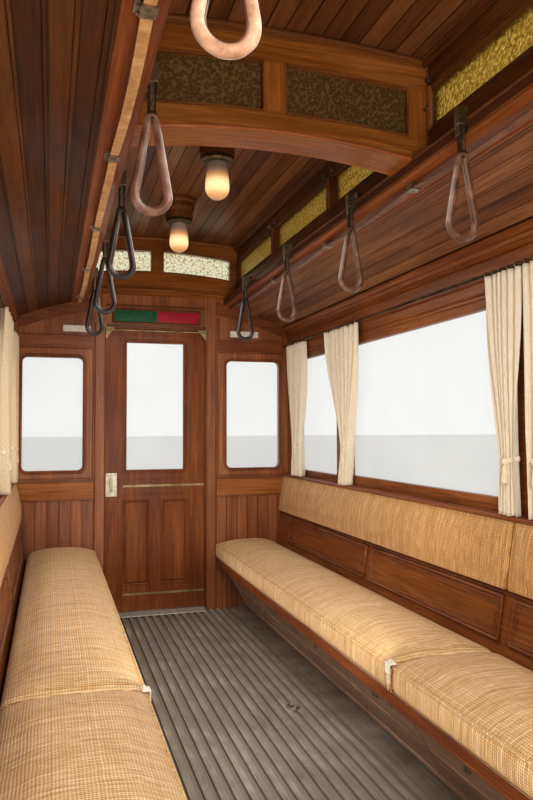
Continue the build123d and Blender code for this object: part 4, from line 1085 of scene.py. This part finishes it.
ledge_in, ledge_out = 477, 571
slope = (under_deck(ledge_out) - under_deck(ledge_in)) / (ledge_out - ledge_in)
ledge_board = block((ledge_in, -run_end, 0), (ledge_out, run_end, 8), 3, 3)
for point in ledge_board.data.vertices:
    point.co.z += (under_deck(ledge_in) + slope * (point.co.x / MM - ledge_in) - 1) * MM
ledge_boards = [
    ledge_board, run(ledge_out + 1, under_deck(ledge_out) - 1, 4),
    run(ledge_in + 1, under_deck(ledge_in) + 2, 5),
]
finished(both_sides(ledge_boards), "ledge_underside_boards", rail_wood)

# The cord-strap sags a little between its brackets
cord = block((506.5, -2698, 0), (533.5, 2698, 3.4), 1.2)
bpy.ops.object.mode_set(mode="EDIT")
for n in range(1, 108):
    bpy.ops.mesh.select_all(action="SELECT")
    bpy.ops.mesh.bisect(plane_co=(0, (-2698 + n * 50) * MM, 0), plane_no=(0, 1, 0))
bpy.ops.object.mode_set(mode="OBJECT")
for point in cord.data.vertices:
    share = (point.co.y / MM / strap_pitch + 10) % 1
    sag = 4 * share * (1 - share)
    point.co.z += (2098.5 - 15 * sag * (abs(point.co.y) < 2.46)) * MM
    point.co.x += 3.5 * sin(3 * point.co.y) * sag * MM
left_cord = copy_of(cord, MIRROR)
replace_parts(finished(cord, "cord_strap_right", brown_leather), "strip_rails")
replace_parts(finished(left_cord, "cord_strap_left", pale_leather), "strip_rails")
bracket_feet = []
for n in range(-3, 4):
    y = n * strap_pitch
    for screw_y in (y - 14, y + 14):
        bracket_feet.append(turned(542, screw_y, [(4, 2103), (4, 2095), (3, 2093.5), (1, 2093)], 10))
    bracket_feet.append(block((536, y - 22, 2100), (550, y + 22, 2112), 2))
finished(both_sides(bracket_feet), "bracket_feet", steel)

# Bench backs: moulded frames round the raised panels; a capping along the top
filler = block((-6, 2290, 480), (3, 2370, 640), 0.5)
for point in filler.data.vertices:
    point.co.x += back_x(point.co.z / MM - FLOOR) * MM
finished(four_ways([filler]), "bench_panel_joins", mahogany_long)
back_mouldings = [bead([(back_x(652) - 2, -1, 652), (back_x(652) - 2, run_end, 652)], 5)]
for low, high in ((35, 1130), (1200, 2440)):
    for inset, size, proud in ((0, 7, 6), (13, 3.5, 8), (30, 2.5, 7)):
        outline = round_frame(low + inset, high - inset, 482 + inset, 638 - inset, 3, 0, 1)
        back_mouldings.append(bead(along_wall(outline, lambda height: back_x(height) - proud), size, True))
finished(four_ways(back_mouldings), "bench_panel_mouldings", moulding_wood)
capping = [run(918, 921, 7), run(940, 926, 5), block((906, -run_end, 914), (950, run_end, 922), 3)]
finished(both_sides(capping), "bench_capping", rail_wood)


# Bench fronts: rail face, battens down and along the slope, small catches
def base_point(share, proud=1):
    """Point on the sloping front, from its head at 0 to the floor at 1."""
    return (450 + 193 * share - proud * 0.86, 326 - 326 * share - proud * 0.51)


front_rail = [block((420, -2698, 313), (427, 2698, 347), 3, 3), run(421, 312, 4, 2697)]
finished(both_sides(front_rail), "bench_front_rail", rail_wood)
batten_rows = ((0.1, 5), (0.16, 3), (0.52, 4), (0.9, 7), (0.96, 5))
battens = [run(*base_point(share), size, 2697) for share, size in batten_rows]
(high_x, high_z), (low_x, low_z) = base_point(0.12), base_point(0.9)
for n in range(-4, 5):
    battens.append(bead([(high_x, 640 * n, high_z), (low_x, 640 * n, low_z)], 4))
finished(both_sides(battens), "bench_front_battens", bench_wood)
catches = []
x, height = base_point(0.3, 4)
for n in range(8):
    y = -2240 + 640 * n
    catches.append(block((x - 6, y - 16, height - 7), (x + 5, y + 16, height + 7), 2.5, 3))
    catches.append(block((x - 12, y - 5, height - 5), (x - 2, y + 5, height + 5), 2, 3))
finished(both_sides(catches), "bench_catches", steel)

# Floor: plain margin boards beside the benches, thresholds, and flush ring pulls
margins = [block((541, -2697, -13), (636, 2697, 1.4), 2)]
finished(both_sides(margins), "floor_margin_boards", floor_wood)
thresholds = [block((-340, 2636, 0.4), (340, let_in, 4.5), 2), block((-336, 2630, 0.2), (336, 2640, 2.4), 1)]
finished(both_ends(thresholds), "door_thresholds", sill_metal)
x, y = 355, 857
pulls = [
    bead(circle(24, lambda a: (x + 20 * cos(a), y + 27 * sin(a), 3.5)), 3, True),
    bead(circle(28, lambda a: (x + 29 * cos(a), y + 36 * sin(a), 1.2)), 2.4, True),
    block((x - 9, y + 18, 0), (x + 9, y + 34, 4.5), 2),
]
finished(both_ends(pulls), "floor_ring_pulls", steel)

# Outside: beads round windows and lower panels, lines along the belt, the frieze and the skirt
wall_outer, wall_end, belt, sole_top = 1010, 2750, 905, -50
roof_end, clerestory_end = wall_end + 106, wall_end + 104


def skin_x(height):
    """Outer face of the side wall, which swells a little below the belt."""
    share = max(0, min(1, (height - sole_top) / (belt - sole_top)))
    return 985 + 25 * share + 34 * share * (1 - share)


outer_frames = []
for start, end in ((30, 1637), (1743, 2620)):
    around = round_frame(start - 11, end + 11, 914, 1779, 6, 0, 2)
    outer_frames.append(bead(along_wall(around, lambda height: wall_outer), 7, True))
    within = round_frame(start + 7, end - 7, 932, 1761, 8, 0, 2)
    outer_frames.append(bead(along_wall(within, lambda height: wall_outer - 10), 5, True))
for n in range(3):
    for inset, size in ((62, 6), (84, 3)):
        panel = round_frame(
            n * post_pitch + inset, (n + 1) * post_pitch - inset, inset - 52, 874 - inset, 26, 0, 5
        )
        followed = []
        for first, second in zip(panel, panel[1:] + panel[:1]):
            steps = max(1, round(abs(second[2] - first[2]) / 80))
            followed += [tuple(a + (b - a) * k / steps for a, b in zip(first, second)) for k in range(steps)]
        outer_frames.append(bead(along_wall(followed, skin_x), size, True))
for y, size in ((2744, 8), (2722, 4)):
    outer_frames.append(bead([(skin_x(z) + 1, y, z) for z in (-46, 180, 420, 660, 866)], size))
    outer_frames.append(bead([(wall_outer + 1, y, z) for z in (906, 1400, 1974)], size))
finished(four_ways(outer_frames), "outer_wall_beads", rail_wood)
wall_lines = (
    (1026, 900, 6), (1026, 870, 6), (1012, 1806, 6), (1012, 1826, 3), (1014, 1968, 12), (1012, 1944, 4),
    (skin_x(-38) + 5, -38, 9), (skin_x(-16) + 5, -16, 4),
)
clerestory_lines = ((614, 2290, 7), (613, 2462, 6), (618, 2550, 8))
outer_runs = [run(*line, wall_end) for line in wall_lines]
outer_runs += [run(*line, clerestory_end) for line in clerestory_lines]
finished(both_sides(outer_runs), "outer_wall_runs", mahogany_long)
hem_lines = ((1037, 2016, 5), (1036, 1990, 4), (615, 2203, 8), (641, 2576, 6))
roof_hems = [run(*line, roof_end) for line in hem_lines]
finished(both_sides(roof_hems), "roof_canvas_hems", canvas)
# Beads on the bulkhead only on the side that the door doesn't slide over
end_skin = wall_end + 1
end_frames = [
    bead(round_frame(-888, -487, 971, 1739, 40, end_skin), 7, True),
    bead(round_frame(-912, -462, 946, 1764, 8, end_skin), 4, True),
    bead([(-440, end_skin, 900), (-1000, end_skin, 900)], 7),
    bead([(-440, end_skin, 880), (-1000, end_skin, 880)], 4),
    bead([(-940, end_skin, -40), (-940, end_skin, 868)], 5),
]
finished(both_ends(end_frames), "outer_bulkhead_beads", rail_wood_level)


def bolt_head(x, y, height):
    """Domed coach-bolt head on a washer, pointing out to the side."""
    piece = turned(0, 0, [(15, 0), (15, 3), (10.5, 3.5), (10, 7), (7, 10), (3, 11)], 14)
    outwards = Matrix.Rotation(pi / 2, 4, "Y")
    piece.data.transform(shifted(x, y, height + FLOOR) @ outwards @ shifted(0, 0, -FLOOR))
    return piece


bolts = [bolt_head(984, y, height) for y in (0.01, 900, 1800, 2790) for height in (-95, -170)]
finished(four_ways(bolts), "sole_bar_bolts", old_iron)

# Camera where the photograph was taken, inside the saloon near its rear end
bpy.ops.object.camera_add(location=(-0.703, -2.242, 1.471))
camera = bpy.context.object
camera.data.lens = 32.18
camera.data.sensor_width = 36
camera.data.clip_start = 0.02
pan, tilt, roll = radians(-16.83), radians(92.32), radians(-0.16)
turn = Matrix.Rotation(pan, 4, "Z") @ Matrix.Rotation(tilt, 4, "X") @ Matrix.Rotation(roll, 4, "Z")
camera.matrix_world = Matrix.Translation(camera.location) @ turn
bpy.context.scene.camera = camera

# Pale floor, white surroundings and soft lights
bpy.ops.mesh.primitive_plane_add(size=300)
ground = bpy.context.object
ground.name = "ground"
pale_floor = Finish("matt_pale_floor", Roughness=0.9, Base_Color=tone("#e9e8e6"))
ground.data.materials.append(pale_floor.material)

world = bpy.data.worlds.new("white_surroundings")
bpy.context.scene.world = world
world.use_nodes = True
sky = world.node_tree
ray = add_node(sky, "ShaderNodeLightPath").outputs
direct = ray["Is Camera Ray"]
for kind in ("Is Glossy Ray", "Is Transmission Ray"):
    direct = add_node(sky, "ShaderNodeMath", {0: direct, 1: ray[kind]}, operation="MAXIMUM").outputs[0]
strength = add_node(sky, "ShaderNodeMapRange", {"Value": direct, 3: 0.9, 4: 1.0}).outputs[0]
back = sky.nodes["Background"]
back.inputs["Color"].default_value = (1, 1, 1, 1)
sky.links.new(strength, back.inputs["Strength"])


def soft_light(name, place, turn, size, power, colour=(1, 1, 1)):
    bpy.ops.object.light_add(type="AREA", location=place, rotation=turn)
    lamp = bpy.context.object
    lamp.name = name
    lamp.data.shape = "RECTANGLE"
    lamp.data.size, lamp.data.size_y = size
    lamp.data.energy = power
    lamp.data.color = colour
    lamp.visible_camera = False
    lamp.visible_glossy = name not in ("floor_bounce", "near_fill")


soft_light("ceiling_light", (0, 0, 2.3), (0, 0, 0), (0.7, 4.6), 27, (1, 0.95, 0.88))
soft_light("floor_bounce", (0, 0, 0.5), (pi, 0, 0), (0.55, 4.8), 20, (1, 0.94, 0.86))
soft_light(
    "near_fill", (-0.25, -2.6, 1.78), (radians(84), 0, radians(-10)), (0.45, 0.45), 37, (0.98, 1, 0.98)
)
soft_light("far_fill", (0, 0.1, 1.2), (radians(84), 0, 0), (0.9, 1.0), 7, (1, 0.97, 0.92))
soft_light("sky_light", (-3, -4, 7), (radians(30), 0, radians(-35)), (6, 6), 500)

bpy.context.scene.view_settings.view_transform = "Standard"
